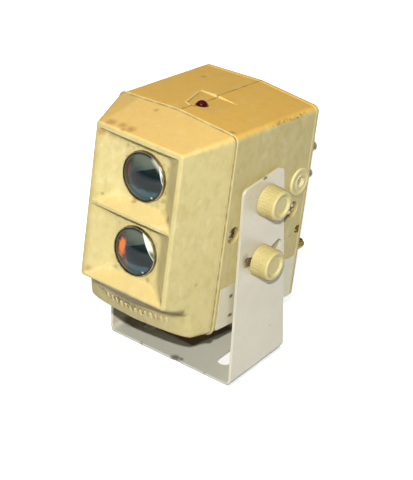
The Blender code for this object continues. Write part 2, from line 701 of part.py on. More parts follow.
def right_shell(finish, head):
    piece = half_shell("right_housing", 1, finish, head)
    underside = RIDGE - WALL - SINK
    join(piece, prism(tab_outline(0.0), "Z", underside, POCKET_FLOOR + SINK), "tab")
    pocket = rectangle(-TAB_LEFT - CUT, POCKET_RIGHT, POCKET_FRONT - GAP, POCKET_REAR + GAP)
    opening = [prism(pocket, "Z", POCKET_FLOOR, RIDGE + CUT)]
    cut(piece, merged(opening), "pocket")
    cut(piece, rod("Z", (LAMP_X, LAMP_Y), LAMP_RADIUS + GAP, BODY_TOP - 2 * WALL, RIDGE + CUT),
        "lamp_hole")


def rear_cover(finish, head):
    piece = mesh_object("rear_cover", prism(body_outline(), "Y", COVER_FRONT, BODY_REAR), finish,
                        head)
    holes = []
    spots = [(x, z) for x in (-COVER_SCREW_X, COVER_SCREW_X)
             for z in (COVER_SCREW_TOP, COVER_SCREW_BOTTOM)]
    spots.append((COVER_SCREW_X, GROUND_SCREW_HEIGHT))
    for spot in spots:
        holes.append(rod("Y", spot, COVER_SCREW_RADIUS + SHANK_FIT, COVER_FRONT - CUT,
                         BODY_REAR + CUT, SMALL_ROUND // 2))
    holes.append(rod("Y", (0.0, GLAND_HEIGHT), GLAND_THREAD + GAP, COVER_FRONT - CUT,
                     BODY_REAR + CUT, ROUND))
    cut(piece, merged(holes), "holes")


# ---------------------------------------------------------------- optics
def optics(name, centre, finishes, head):
    """One lens with its ring in the recess and its black tube behind."""
    spot = (0.0, centre)
    edge_rear = RECESS_Y + LENS_REST
    edge_front = edge_rear - LENS_EDGE
    ball = (LENS_RADIUS ** 2 + LENS_CROWN ** 2) / (2 * LENS_CROWN)
    profile = [(edge_rear, 0.0), (edge_rear, LENS_RADIUS), (edge_front, LENS_RADIUS)]
    steps = 5
    for step in range(1, steps):
        radius = LENS_RADIUS * (1 - step / steps)
        rise = math.sqrt(ball ** 2 - radius ** 2) - (ball - LENS_CROWN)
        profile.append((edge_front - rise, radius))
    profile.append((edge_front - LENS_CROWN, 0.0))
    mesh_object(f"lens_{name}", turned(profile, "Y", spot), finishes["glass"], head, True)

    inner = LENS_RADIUS + GAP
    outer = inner + RING_WALL
    ring_rear = RECESS_Y - GAP
    ring_front = ring_rear - RING_LENGTH
    chamfer = RING_WALL / 2
    profile = [(ring_rear, inner), (ring_rear, outer), (ring_front + chamfer, outer),
               (ring_front, outer - chamfer), (ring_front, inner)]
    mesh_object(f"lens_ring_{name}", turned(profile, "Y", spot), finishes["chrome"], head, True)

    rear = TUBE_FRONT + TUBE_LENGTH
    flange = LENS_RADIUS + RING_WALL + TUBE_WALL
    profile = [(TUBE_FRONT, LENS_RADIUS), (TUBE_FRONT, flange), (TUBE_FRONT + TUBE_FLANGE, flange),
               (TUBE_FRONT + TUBE_FLANGE, LENS_RADIUS + TUBE_WALL),
               (rear - TUBE_FLANGE, TUBE_REAR_RADIUS), (rear - TUBE_FLANGE, TUBE_REAR_FLANGE),
               (rear, TUBE_REAR_FLANGE), (rear, TUBE_REAR_RADIUS - TUBE_WALL),
               (TUBE_FRONT + TUBE_FLANGE, LENS_RADIUS)]
    mesh_object(f"lens_tube_{name}", turned(profile, "Y", spot), finishes["black"], head, True)


def optics_electronics(finishes, head):
    top = LENS_CENTRES["upper"] + OPTICS_BOARD_MARGIN
    bottom = LENS_CENTRES["lower"] - OPTICS_BOARD_MARGIN
    outline = rectangle(-OPTICS_BOARD_HALF_WIDTH, OPTICS_BOARD_HALF_WIDTH, bottom, top)
    mesh_object("optics_board", prism(outline, "Y", OPTICS_BOARD_Y, OPTICS_BOARD_Y + BOARD),
                finishes["board"], head)
    face = OPTICS_BOARD_Y - GAP
    crown = EMITTER_RADIUS * 0.7
    profile = [(face, 0.0), (face, EMITTER_RADIUS * 1.25), (face - MM, EMITTER_RADIUS * 1.25),
               (face - MM, EMITTER_RADIUS), (face - EMITTER_LENGTH + EMITTER_RADIUS, EMITTER_RADIUS),
               (face - EMITTER_LENGTH + EMITTER_RADIUS - crown, crown),
               (face - EMITTER_LENGTH, 0.0)]
    spot = (0.0, LENS_CENTRES["upper"])
    mesh_object("emitter_led", turned(profile, "Y", spot, SMALL_ROUND), finishes["clear"], head, True)
    half = RECEIVER_SIZE / 2
    centre = LENS_CENTRES["lower"]
    mesh_object("receiver_diode", block((-half, face - RECEIVER_LENGTH, centre - half),
                                        (half, face, centre + half)), finishes["black"], head)


# ---------------------------------------------------------------- boards
def main_board(finish, head):
    outline = rectangle(MAIN_BOARD_FRONT, MAIN_BOARD_REAR, MAIN_BOARD_BOTTOM, MAIN_BOARD_TOP)
    piece = mesh_object("main_board", prism(outline, "X", BOARD_INNER, BOARD_OUTER), finish, head)
    cut(piece, rod("X", (SIDE_SCREW_REAR, -SIDE_SCREW_DROP), SIDE_BOSS + 2 * GAP,
                   BOARD_INNER - CUT, BOARD_OUTER + CUT), "boss_hole")


def components(finishes, head):
    """The larger parts on the main board's inner side."""
    face = BOARD_INNER - GAP
    mesh_object("relay", block((face - RELAY[0], RELAY_FRONT, RELAY_LOW),
                               (face, RELAY_FRONT + RELAY[1], RELAY_LOW + RELAY[2])),
                finishes["relay"], head)
    depth, width, height = TRANSFORMER_CORE
    core = block((face - depth, TRANSFORMER_FRONT, TRANSFORMER_LOW),
                 (face, TRANSFORMER_FRONT + width, TRANSFORMER_LOW + height))
    piece = mesh_object("transformer", core, finishes["iron"], head)
    wind = TRANSFORMER_WINDING
    quarter = height / 4
    bobbin = block((face - depth + quarter, TRANSFORMER_FRONT - wind, TRANSFORMER_LOW + quarter),
                   (face - quarter, TRANSFORMER_FRONT + width + wind,
                    TRANSFORMER_LOW + height - quarter))
    join(piece, bobbin, "winding")
    bead = MM
    profile = [(face - CAPACITOR_LENGTH, 0.0), (face - CAPACITOR_LENGTH, CAPACITOR_RADIUS),
               (face - 3 * bead, CAPACITOR_RADIUS), (face - 2 * bead, CAPACITOR_RADIUS - bead / 2),
               (face - bead, CAPACITOR_RADIUS), (face, CAPACITOR_RADIUS), (face, 0.0)]
    mesh_object("capacitor", turned(profile, "X", (CAPACITOR_Y, CAPACITOR_Z), SMALL_ROUND),
                finishes["sleeve"], head, True)


def terminal_block(finish, head):
    width, depth, height = TERMINAL_BLOCK
    left = -HALF + TERMINAL_BLOCK_INSET
    rear = COVER_FRONT - GAP
    piece = mesh_object("terminal_block", block((left, rear - depth, TERMINAL_BLOCK_LOW),
                                                (left + width, rear, TERMINAL_BLOCK_LOW + height)),
                        finish, head)
    wells = []
    for k in range(TERMINAL_COUNT):
        z = TERMINAL_BLOCK_LOW + height * (k + 0.5) / TERMINAL_COUNT
        wells.append(rod("X", (rear - depth / 2, z), TERMINAL_RADIUS,
                         left + width - TERMINAL_DEPTH, left + width + CUT, SMALL_ROUND // 2))
    cut(piece, merged(wells), "screw_wells")


def cable_gland(finishes, head):
    spot = (0.0, GLAND_HEIGHT)
    face = BODY_REAR + GAP
    cap_start = face + GLAND_HEX_LENGTH
    end = cap_start + GLAND_CAP_LENGTH
    inside = COVER_FRONT - GLAND_INSIDE
    profile = [(inside, GLAND_BORE), (inside, GLAND_THREAD), (cap_start - MM, GLAND_THREAD),
               (cap_start, GLAND_CAP_RADIUS), (end - 2 * MM, GLAND_CAP_RADIUS),
               (end, GLAND_CAP_RADIUS - 2 * MM), (end, GLAND_BORE)]
    piece = mesh_object("cable_gland", turned(profile, "Y", spot, SMALL_ROUND), finishes["dark"],
                        head, True)
    hexagon_ring = frame_ring(hexagon(spot, GLAND_HEX), hexagon(spot, GLAND_BORE + MM), "Y", face,
                              cap_start)
    join(piece, hexagon_ring, "hexagon")
    start = COVER_FRONT - GAP - LOCKNUT_LENGTH
    nut = mesh_object("gland_locknut", prism(hexagon(spot, LOCKNUT_HEX), "Y", start,
                                             start + LOCKNUT_LENGTH), finishes["dark"], head)
    cut(nut, rod("Y", spot, GLAND_THREAD + GAP, start - CUT, COVER_FRONT, ROUND), "thread")


# ---------------------------------------------------------------- fittings
def indicator_lamp(finish, head):
    spot = (LAMP_X, LAMP_Y)
    top = POCKET_FLOOR
    ball = (LAMP_RADIUS ** 2 + LAMP_CROWN ** 2) / (2 * LAMP_CROWN)
    seat = RIDGE - WALL - ROOF_RISE * LAMP_X / HALF - GAP
    profile = [(seat - LAMP_BODY, 0.0), (seat - LAMP_BODY, LAMP_FLANGE), (seat - MM, LAMP_FLANGE),
               (seat - MM, LAMP_RADIUS), (top, LAMP_RADIUS)]
    steps = 5
    for step in range(1, steps):
        radius = LAMP_RADIUS * (1 - step / steps)
        rise = math.sqrt(ball ** 2 - radius ** 2) - (ball - LAMP_CROWN)
        profile.append((top + rise, radius))
    profile.append((top + LAMP_CROWN, 0.0))
    mesh_object("indicator_lamp", turned(profile, "Z", spot, SMALL_ROUND), finish, head, True)


def sensitivity_adjuster(finishes, head):
    """The plug in the side wall, the potentiometer on the board, and its rotor."""
    spot = (POT_Y, 0.0)
    face = HALF + GAP
    rim = PLUG_PROUD / 2
    profile = [(HALF - WALL, PLUG_BORE), (HALF - WALL, PLUG_NECK), (face, PLUG_NECK),
               (face, PLUG_RADIUS), (face + rim, PLUG_RADIUS), (face + PLUG_PROUD, PLUG_RADIUS - rim),
               (face + PLUG_PROUD, PLUG_BORE)]
    mesh_object("sensitivity_plug", turned(profile, "X", spot), finishes["case"], head, True)
    half = POT_SIZE / 2
    start = BOARD_OUTER + GAP
    mesh_object("potentiometer", block((start, POT_Y - half, -half),
                                       (start + POT_DEPTH, POT_Y + half, half)),
                finishes["pot"], head)
    rotor_axis = empty("rotor_axis", (start + POT_DEPTH + GAP, POT_Y, 0.0), parent=head)
    length = face + PLUG_PROUD - ROTOR_SUNK - start - POT_DEPTH - GAP
    rotor = mesh_object("sensitivity_rotor", rod("X", (0.0, 0.0), ROTOR_RADIUS, 0.0, length),
                        finishes["rotor"], rotor_axis, True)
    slot = block((length - DRIVE_SLOT_DEPTH, -ROTOR_SLOT / 2, -ROTOR_RADIUS - CUT),
                 (length + CUT, ROTOR_SLOT / 2, ROTOR_RADIUS + CUT))
    cut(rotor, slot, "slot")


def label_plate(finish, head):
    front = BODY_FRONT + LABEL_FRONT
    low = BODY_BOTTOM + LABEL_LIFT
    outline = rectangle(front, front + LABEL_LENGTH, low, low + LABEL_HEIGHT)
    mesh_object("label_plate", prism(outline, "X", HALF + GAP, HALF + GAP + LABEL_THICKNESS),
                finish, head)


# ---------------------------------------------------------------- screws
def cross_cutter(axis, spot, radius, start, end):
    """A cross-shaped driver recess."""
    u, v = spot
    half = DRIVE_SLOT / 2
    reach = radius * 0.62
    outline = [(reach, -half), (reach, half), (half, half), (half, reach), (-half, reach),
               (-half, half), (-reach, half), (-reach, -half), (-half, -half), (-half, -reach),
               (half, -reach), (half, -half)]
    return prism([(u + a, v + b) for a, b in outline], axis, start, end)


def slot_cutter(spot, radius, start, end):
    u, v = spot
    half = DRIVE_SLOT / 2
    reach = radius + CUT
    return prism(rectangle(u - half, u + half, v - reach, v + reach), "Y", start, end)


def side_screws(finish, head):
    head_start = HALF - SIDE_SCREW_SUNK + GAP
    top = head_start + SIDE_SCREW_HEAD_LENGTH
    round_off = SIDE_SCREW_HEAD * 0.3
    for name, y in (("front", SIDE_SCREW_FRONT), ("rear", SIDE_SCREW_REAR)):
        spot = (y, -SIDE_SCREW_DROP)
        profile = [(head_start - SIDE_SCREW_LENGTH, 0.0),
                   (head_start - SIDE_SCREW_LENGTH, SIDE_SCREW_RADIUS),
                   (head_start, SIDE_SCREW_RADIUS), (head_start, SIDE_SCREW_HEAD),
                   (top - round_off / 2, SIDE_SCREW_HEAD), (top, SIDE_SCREW_HEAD - round_off),
                   (top, 0.0)]
        piece = mesh_object(f"side_screw_{name}", turned(profile, "X", spot, SMALL_ROUND), finish,
                            head, True)
        cut(piece, cross_cutter("X", spot, SIDE_SCREW_HEAD, top - DRIVE_SLOT_DEPTH, top + CUT),
            "recess")


def rear_screw(name, spot, radius, length, shank, finish, head):
    start = BODY_REAR + GAP
    top = start + length
    round_off = radius * 0.2
    profile = [(start - shank, 0.0), (start - shank, COVER_SCREW_RADIUS),
               (start, COVER_SCREW_RADIUS), (start, radius), (top - round_off, radius),
               (top, radius - round_off), (top, 0.0)]
    piece = mesh_object(name, turned(profile, "Y", spot, SMALL_ROUND), finish, head, True)
    cut(piece, slot_cutter(spot, radius, top - DRIVE_SLOT_DEPTH, top + CUT), "slot")


def rear_screws(finishes, head):
    shank = COVER_THICKNESS + COVER_SCREW_LENGTH - GAP
    for name, side in (("left", -1), ("right", 1)):
        x = side * COVER_SCREW_X
        rear_screw(f"cover_screw_upper_{name}", (x, COVER_SCREW_TOP), CAP_HEAD_RADIUS,
                   CAP_HEAD_LENGTH, shank, finishes["steel"], head)
        rear_screw(f"cover_screw_lower_{name}", (x, COVER_SCREW_BOTTOM), THUMB_HEAD_RADIUS,
                   THUMB_HEAD_LENGTH, shank, finishes["brass"], head)
    rear_screw("ground_screw", (COVER_SCREW_X, GROUND_SCREW_HEIGHT), GROUND_HEAD_RADIUS,
               GROUND_HEAD_LENGTH, GROUND_SHANK, finishes["steel"], head)


# ---------------------------------------------------------------- clamps
def knob_shape(side):
    """A tapered, finely fluted knob with a dished face, about its own axis.

    Distances run outward from the arm's outer face.
    """
    base = KNOB_CLEARANCE
    face = base + KNOB_HEIGHT
    washer_seat = CAPTIVE_WASHER_THICKNESS + 2 * GAP
    bore_end = face - KNOB_DISH_DEPTH - KNOB_ROOF
    edge = 0.8 * MM
    profile = [(face - KNOB_DISH_DEPTH, 0.0),
               (face - KNOB_DISH_DEPTH, KNOB_DISH_RADIUS - edge / 2),
               (face, KNOB_DISH_RADIUS), (face, KNOB_FACE_RADIUS - edge),
               (face - edge, KNOB_FACE_RADIUS), (base, KNOB_BASE_RADIUS),
               (base, CAPTIVE_WASHER_RADIUS + GAP), (washer_seat, CAPTIVE_WASHER_RADIUS + GAP),
               (washer_seat, STUD_RADIUS + GAP), (bore_end, STUD_RADIUS + GAP), (bore_end, 0.0)]
    shape = turned(profile, "X", steps=2 * KNOB_FLUTES, direction=side)
    for vertex in shape.verts:
        outward = math.hypot(vertex.co.y, vertex.co.z)
        turn = math.atan2(vertex.co.z, vertex.co.y)
        crest = round(turn * KNOB_FLUTES / math.pi) % 2 == 0
        if outward > KNOB_FACE_RADIUS - edge / 2 and crest:
            vertex.co.y *= 1 - KNOB_FLUTE_DEPTH / outward
            vertex.co.z *= 1 - KNOB_FLUTE_DEPTH / outward
    return shape


def clamps(finishes, head):
    """Four knobs with their studs, washers and threaded inserts."""
    for level, (y, z) in STUDS.items():
        for hand, side in (("left", -1), ("right", 1)):
            tag = f"{level}_{hand}"
            axis = empty(f"knob_axis_{tag}", (side * ARM_OUTER, y, z), parent=head)
            mesh_object(f"knob_{tag}", knob_shape(side), finishes["case"], axis, True)
            stud_end = KNOB_CLEARANCE + KNOB_HEIGHT - KNOB_DISH_DEPTH - KNOB_ROOF - GAP
            stud_start = HALF - STUD_DEPTH - ARM_OUTER + GAP
            mesh_object(f"stud_{tag}", rod("X", (0.0, 0.0), STUD_RADIUS, stud_start, stud_end,
                                           direction=side), finishes["steel"], axis, True)
            mesh_object(f"captive_washer_{tag}",
                        tube("X", (0.0, 0.0), STUD_RADIUS + GAP, CAPTIVE_WASHER_RADIUS, GAP,
                             GAP + CAPTIVE_WASHER_THICKNESS, direction=side),
                        finishes["steel"], axis, True)
            mesh_object(f"friction_washer_{tag}",
                        tube("X", (y, z), STUD_RADIUS + GAP, FRICTION_WASHER_RADIUS, HALF + GAP,
                             ARM_INNER - GAP, direction=side), finishes["fibre"], head, True)
            mesh_object(f"insert_{tag}",
                        tube("X", (y, z), STUD_RADIUS + GAP, INSERT_RADIUS,
                             HALF - INSERT_LENGTH - GAP, HALF - GAP, direction=side),
                        finishes["brass"], head, True)


# ---------------------------------------------------------------- the object
def main():
    for old in list(bpy.data.objects):
        bpy.data.objects.remove(old)
    finishes = {
        "case": material("aged_cream_plastic", (0.76, 0.67, 0.36), 0.5),
        "paint": material("grey_white_paint", (0.66, 0.64, 0.58), 0.45),
        "glass": material("lens_glass", (0.05, 0.08, 0.10), 0.05, transmission=0.4),
        "chrome": material("bright_ring", (0.8, 0.8, 0.78), 0.15, 1.0),
        "black": material("black_moulding", (0.02, 0.02, 0.02), 0.6),
        "rubber": material("gasket_rubber", (0.05, 0.045, 0.04), 0.8),
        "board": material("circuit_board", (0.05, 0.22, 0.08), 0.5),
        "clear": material("infrared_epoxy", (0.10, 0.03, 0.08), 0.1),
        "relay": material("relay_case", (0.10, 0.16, 0.35), 0.4),
        "iron": material("laminated_iron", (0.16, 0.14, 0.13), 0.6, 0.6),
        "sleeve": material("capacitor_sleeve", (0.05, 0.07, 0.20), 0.35),
        "dark": material("gland_nylon", (0.06, 0.06, 0.06), 0.5),
        "terminal": material("terminal_moulding", (0.30, 0.28, 0.24), 0.5),
        "lamp": material("lamp_red", (0.25, 0.01, 0.02), 0.15),
        "pot": material("potentiometer_case", (0.08, 0.16, 0.30), 0.45),
        "rotor": material("rotor_grey", (0.45, 0.45, 0.42), 0.5),
        "label": material("label_grey", (0.62, 0.62, 0.53), 0.45),
        "steel": material("zinc_steel", (0.55, 0.52, 0.45), 0.35, 1.0),
        "brass": material("brass", (0.60, 0.48, 0.22), 0.35, 1.0),
        "fibre": material("fibre_washer", (0.45, 0.38, 0.28), 0.8),
    }
    bracket(finishes["paint"])
    head = empty("tilt_axis", (0.0, AXIS_SETBACK, AXIS_HEIGHT), -REST_LEAN)
    front_housing(finishes["case"], head)
    gasket(finishes["rubber"], head)
    right_shell(finishes["case"], head)
    half_shell("left_housing", -1, finishes["case"], head)
    rear_cover(finishes["case"], head)
    for name, centre in LENS_CENTRES.items():
        optics(name, centre, finishes, head)
    optics_electronics(finishes, head)
    main_board(finishes["board"], head)
    components(finishes, head)
    terminal_block(finishes["terminal"], head)
    cable_gland(finishes, head)
    indicator_lamp(finishes["lamp"], head)
    sensitivity_adjuster(finishes, head)
    label_plate(finishes["label"], head)
    side_screws(finishes["steel"], head)
    rear_screws(finishes, head)
    clamps(finishes, head)


main()
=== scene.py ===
import json
import math

import bmesh
import bpy
from mathutils import Matrix, Vector


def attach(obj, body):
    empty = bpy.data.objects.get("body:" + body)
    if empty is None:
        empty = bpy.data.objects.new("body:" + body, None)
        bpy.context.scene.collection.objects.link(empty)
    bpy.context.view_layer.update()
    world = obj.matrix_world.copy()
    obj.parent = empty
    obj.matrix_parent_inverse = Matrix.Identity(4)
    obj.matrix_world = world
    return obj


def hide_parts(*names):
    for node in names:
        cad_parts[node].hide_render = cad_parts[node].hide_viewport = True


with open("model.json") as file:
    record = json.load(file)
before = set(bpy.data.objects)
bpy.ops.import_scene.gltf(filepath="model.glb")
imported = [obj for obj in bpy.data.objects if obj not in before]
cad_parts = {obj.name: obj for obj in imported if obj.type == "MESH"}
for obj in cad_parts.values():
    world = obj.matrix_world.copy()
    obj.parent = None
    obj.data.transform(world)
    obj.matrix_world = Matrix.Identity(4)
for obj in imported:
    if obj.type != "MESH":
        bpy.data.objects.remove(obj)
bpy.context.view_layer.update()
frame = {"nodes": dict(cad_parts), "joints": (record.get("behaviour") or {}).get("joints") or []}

MM = 0.001
NODES = frame["nodes"]

# ------------------------------------------------------------------ sizes: the CAD's, and a few
# of the finer detail's
GAP = 0.3 * MM
CUT = 1.0 * MM
SINK = 0.6 * MM
BODY_WIDTH = 78.6 * MM
BODY_TOP = 41.3 * MM
ROOF_RISE = 2.5 * MM
BODY_BOTTOM = -73.0 * MM
KEEL_DROP = 2.0 * MM
BODY_FRONT = -29.6 * MM
BODY_REAR = 45.2 * MM
BODY_CORNER = 3.6 * MM
WALL = 2.4 * MM
SHELL_LIP = 0.35 * MM
COVER_THICKNESS = 2.9 * MM
PANEL_HALF = 27.0 * MM
PANEL_LOW = -38.0 * MM
PANEL_HIGH = 30.0 * MM
PANEL_CORNER = 2.5 * MM
SNOUT_LENGTH = 30.6 * MM
SNOUT_SIDE_INSET = 10.5 * MM
SNOUT_TOP_DROP = 5.8 * MM
FRAME_LIFT = 19.5 * MM
FRAME_CORNER = 1.8 * MM
FRAME_RIM = 2.8 * MM
FRAME_TOP_RIM = 3.3 * MM
FRAME_BOTTOM_RIM = 1.9 * MM
CHIN_TOP_REACH = 21.9 * MM
CHIN_TOP_LIFT = 14.0 * MM
CHIN_TOP_KEEL = 3.4 * MM
CHIN_BOTTOM_REACH = 16.4 * MM
CHIN_TOP_BOW = 4.5 * MM
CHIN_BOTTOM_BOW = 3.4 * MM
RECESS_DEPTH = 8.8 * MM
RECESS_FLAT = 1.8 * MM
RECESS_DIVIDER = 2.4 * MM
RECESS_WALL = 2.4 * MM
RECESS_MOUTH = 0.7 * MM
RECESS_CORNER = 3.4 * MM
LENS_RADIUS = 12.3 * MM
GLASS_RADIUS = LENS_RADIUS + 0.95 * MM
LENS_EDGE = 3.4 * MM
LENS_CROWN = 3.8 * MM
LENS_REST = 1.7 * MM
RING_WALL = 1.0 * MM
RING_LENGTH = 2.2 * MM
SHEET = 1.6 * MM
SIDE_GAP = 2.1 * MM
STUD_RADIUS = 2.4 * MM
HOLE_FIT = 0.5 * MM
LOCK_DROP = 35.8 * MM
LOCK_SETBACK = 1.5 * MM
INSERT_RADIUS = 4.0 * MM
INSERT_LENGTH = 8.3 * MM
INSERT_BOSS = 6.5 * MM
KNOB_BASE_RADIUS = 9.2 * MM
KNOB_FACE_RADIUS = 8.6 * MM
KNOB_HEIGHT = 10.4 * MM
KNOB_CLEARANCE = 0.5 * MM
KNOB_DISH_RADIUS = 6.3 * MM
KNOB_DISH_DEPTH = 1.2 * MM
KNOB_ROOF = 2.2 * MM
KNOB_TURN = math.radians(17.0)
KNURL_TEETH = 36
KNURL_DEPTH = 0.34 * MM
KNURL_ROW = 1.3 * MM
CAPTIVE_WASHER_RADIUS = 7.0 * MM
CAPTIVE_WASHER_THICKNESS = 1.1 * MM
LEAN = math.radians(10.0)
TILT_UP = math.radians(19.0)
TILT_DOWN = math.radians(27.0)
ARM_ABOVE_AXIS = 13.8 * MM
ARM_TOP_FRONT = 19.5 * MM
ARM_TOP_REAR = 15.4 * MM
ARM_CORNER = 4.0 * MM
BASE_DEPTH = 48.8 * MM
BEND_RADIUS = 2.4 * MM
BASE_SLOT_WIDTH = 8.4 * MM
BASE_SLOT_LENGTH = 24.6 * MM
BASE_SLOT_INSET = 14.5 * MM
BASE_NOTCH_WIDTH = 7.6 * MM
BASE_NOTCH_DEPTH = 0.7 * MM
BASE_NOTCH_OFFSET = 5.3 * MM
SIDE_SCREW_RADIUS = 1.7 * MM
SIDE_SCREW_HEAD = 4.0 * MM
SIDE_SCREW_HEAD_LENGTH = 2.6 * MM
SIDE_SCREW_LENGTH = 62.0 * MM
SIDE_SCREW_END = 29.0 * MM
SIDE_SCREW_POCKET = 4.6 * MM
SIDE_SCREW_SUNK = 4.0 * MM
SIDE_SCREW_DROP = 16.4 * MM
SIDE_SCREW_FRONT = -20.9 * MM
SIDE_SCREW_REAR = 32.7 * MM
SIDE_BOSS = 3.6 * MM
COVER_SCREW_RADIUS = 1.6 * MM
COVER_SCREW_INSET = 4.0 * MM
COVER_SCREW_TOP = 15.7 * MM
COVER_SCREW_BOTTOM = -43.4 * MM
COVER_SCREW_LENGTH = 10.0 * MM
COVER_BOSS = 3.2 * MM
COVER_BOSS_LENGTH = 12.0 * MM
CAP_HEAD_RADIUS = 2.9 * MM
CAP_HEAD_LENGTH = 4.8 * MM
THUMB_HEAD_RADIUS = 3.3 * MM
THUMB_HEAD_LENGTH = 6.4 * MM
GROUND_SCREW_HEIGHT = -0.3 * MM
GROUND_HEAD_RADIUS = 2.8 * MM
GROUND_HEAD_LENGTH = 4.6 * MM
DRIVE_SLOT = 0.9 * MM
DRIVE_SLOT_DEPTH = 1.0 * MM
CROSS_TURN = math.radians(20)
POT_Y = 34.4 * MM
PLUG_RADIUS = 8.2 * MM
PLUG_PROUD = 1.3 * MM
PLUG_NECK = 6.0 * MM
PLUG_BORE = 3.2 * MM
LABEL_LENGTH = 67.6 * MM
LABEL_HEIGHT = 24.8 * MM
LABEL_THICKNESS = 0.3 * MM
LABEL_FRONT = 3.2 * MM
LABEL_LIFT = 1.8 * MM
NOTCH_RADIUS = 2.3 * MM
NOTCH_HEIGHT = -30.3 * MM
NOTCH_REACH = 2.0 * MM
POCKET_DEPTH = 0.9 * MM
POCKET_FRONT = -17.5 * MM
POCKET_REAR = 4.0 * MM
POCKET_RIGHT = 13.0 * MM
TAB_LEFT = 10.2 * MM
TAB_FRONT_LEFT = 4.6 * MM
TAB_FRONT_SHOULDER = 2.0 * MM
LAMP_X = 1.5 * MM
LAMP_Y = -11.0 * MM
LAMP_RADIUS = 3.5 * MM
LAMP_CROWN = 2.5 * MM
LAMP_BODY = 6.0 * MM
LAMP_FLANGE = 4.4 * MM
STANDOFF_RADIUS = 2.5 * MM
STANDOFF_INSET = 5.0 * MM
MAIN_BOARD_INSET = 18.3 * MM
MAIN_BOARD_FRONT = -8.0 * MM
MAIN_BOARD_REAR = 38.0 * MM
MAIN_BOARD_TOP = 30.0 * MM
MAIN_BOARD_BOTTOM = -62.0 * MM
GLAND_HEIGHT = -52.0 * MM
GLAND_BORE = 4.4 * MM
GLAND_THREAD = 7.8 * MM
GLAND_HEX = 10.5 * MM
GLAND_HEX_LENGTH = 4.0 * MM
GLAND_CAP_RADIUS = 9.0 * MM
GLAND_CAP_LENGTH = 6.0 * MM
GLAND_INSIDE = 5.0 * MM
GASKET_WIDTH = 0.8 * MM
GASKET_DEPTH = 0.9 * MM

HALF = BODY_WIDTH / 2
FRAME_Y = BODY_FRONT - SNOUT_LENGTH
FRAME_HALF = HALF - SNOUT_SIDE_INSET
FRAME_TOP = BODY_TOP - SNOUT_TOP_DROP
FRAME_BOTTOM = BODY_BOTTOM + FRAME_LIFT
SNOUT_REAR = BODY_FRONT - GAP
RECESS_Y = FRAME_Y + RECESS_DEPTH
RECESS_BOTTOM = FRAME_BOTTOM + FRAME_BOTTOM_RIM
RECESS_TOP = FRAME_TOP - FRAME_TOP_RIM
RECESS_HEIGHT = (RECESS_TOP - RECESS_BOTTOM - RECESS_DIVIDER) / 2
RECESSES = {"lower": (RECESS_BOTTOM, RECESS_BOTTOM + RECESS_HEIGHT),
            "upper": (RECESS_TOP - RECESS_HEIGHT, RECESS_TOP)}
LENS_CENTRES = {name: sum(span) / 2 for name, span in RECESSES.items()}
GASKET_INSET = (WALL - GASKET_WIDTH) / 2
SHELL_REAR = BODY_REAR - COVER_THICKNESS - GAP
COVER_FRONT = BODY_REAR - COVER_THICKNESS
RIDGE = BODY_TOP + ROOF_RISE
POCKET_FLOOR = RIDGE - POCKET_DEPTH
ARM_INNER = HALF + SIDE_GAP
ARM_OUTER = ARM_INNER + SHEET
TILT = next(j for j in frame["joints"] if j["name"] == "head_tilt")
AXIS = Vector(TILT["pos_m"])
AXIS_SETBACK = AXIS.y
AXIS_HEIGHT = AXIS.z
BRACKET_HEIGHT = AXIS_HEIGHT + ARM_ABOVE_AXIS
HOLE_RADIUS = STUD_RADIUS + HOLE_FIT
LOCK_RADIUS = math.hypot(LOCK_DROP, LOCK_SETBACK)
LOCK_ANGLE = math.atan2(LOCK_SETBACK, LOCK_DROP) - LEAN
STUDS = {"upper": (0.0, 0.0), "lower": (LOCK_SETBACK, -LOCK_DROP)}
BOARD_OUTER = HALF - MAIN_BOARD_INSET
COVER_SCREW_X = HALF - COVER_SCREW_INSET
HEAD = Matrix.Translation(AXIS) @ Matrix.Rotation(-LEAN, 4, "X")

ROUND = 72
SMALL_ROUND = 40
CORNER_STEPS = 8


# ------------------------------------------------------------------ outlines
def arc(centre, radius, start, end, steps):
    turns = [start + (end - start) * i / steps for i in range(steps + 1)]
    return [(centre[0] + radius * math.cos(t), centre[1] + radius * math.sin(t)) for t in turns]


def quarter(radius, steps, count):
    """Two setbacks at each of the first points of a quarter circle: 0 to radius, and back."""
    turns = [math.pi / 2 * k / steps for k in range(count)]
    return [(radius * (1 - math.cos(t)), radius * (1 - math.sin(t))) for t in turns]


def circle(centre, radius, steps=SMALL_ROUND):
    return arc(centre, radius, 0.0, math.tau * (steps - 1) / steps, steps - 1)


def rectangle(u_low, u_high, v_low, v_high):
    return [(u_low, v_low), (u_high, v_low), (u_high, v_high), (u_low, v_high)]


def rounded(corners, radii, steps=CORNER_STEPS):
    """A polygon with each corner replaced by an arc of its own radius."""
    points = []
    for index, corner in enumerate(corners):
        here = Vector(corner)
        before = (Vector(corners[index - 1]) - here).normalized()
        after = (Vector(corners[(index + 1) % len(corners)]) - here).normalized()
        radius = radii[index]
        if radius <= 0:
            points.append(tuple(here))
            continue
        half = before.angle(after) / 2
        start = here + before * (radius / math.tan(half))
        centre = here + (before + after).normalized() * (radius / math.sin(half))
        first = start - centre
        swing = math.pi - 2 * half
        side = 1.0 if before.x * after.y - before.y * after.x < 0 else -1.0
        for step in range(steps + 1):
            turn = Matrix.Rotation(side * swing * step / steps, 2)
            points.append(tuple(centre + turn @ first))
    return points


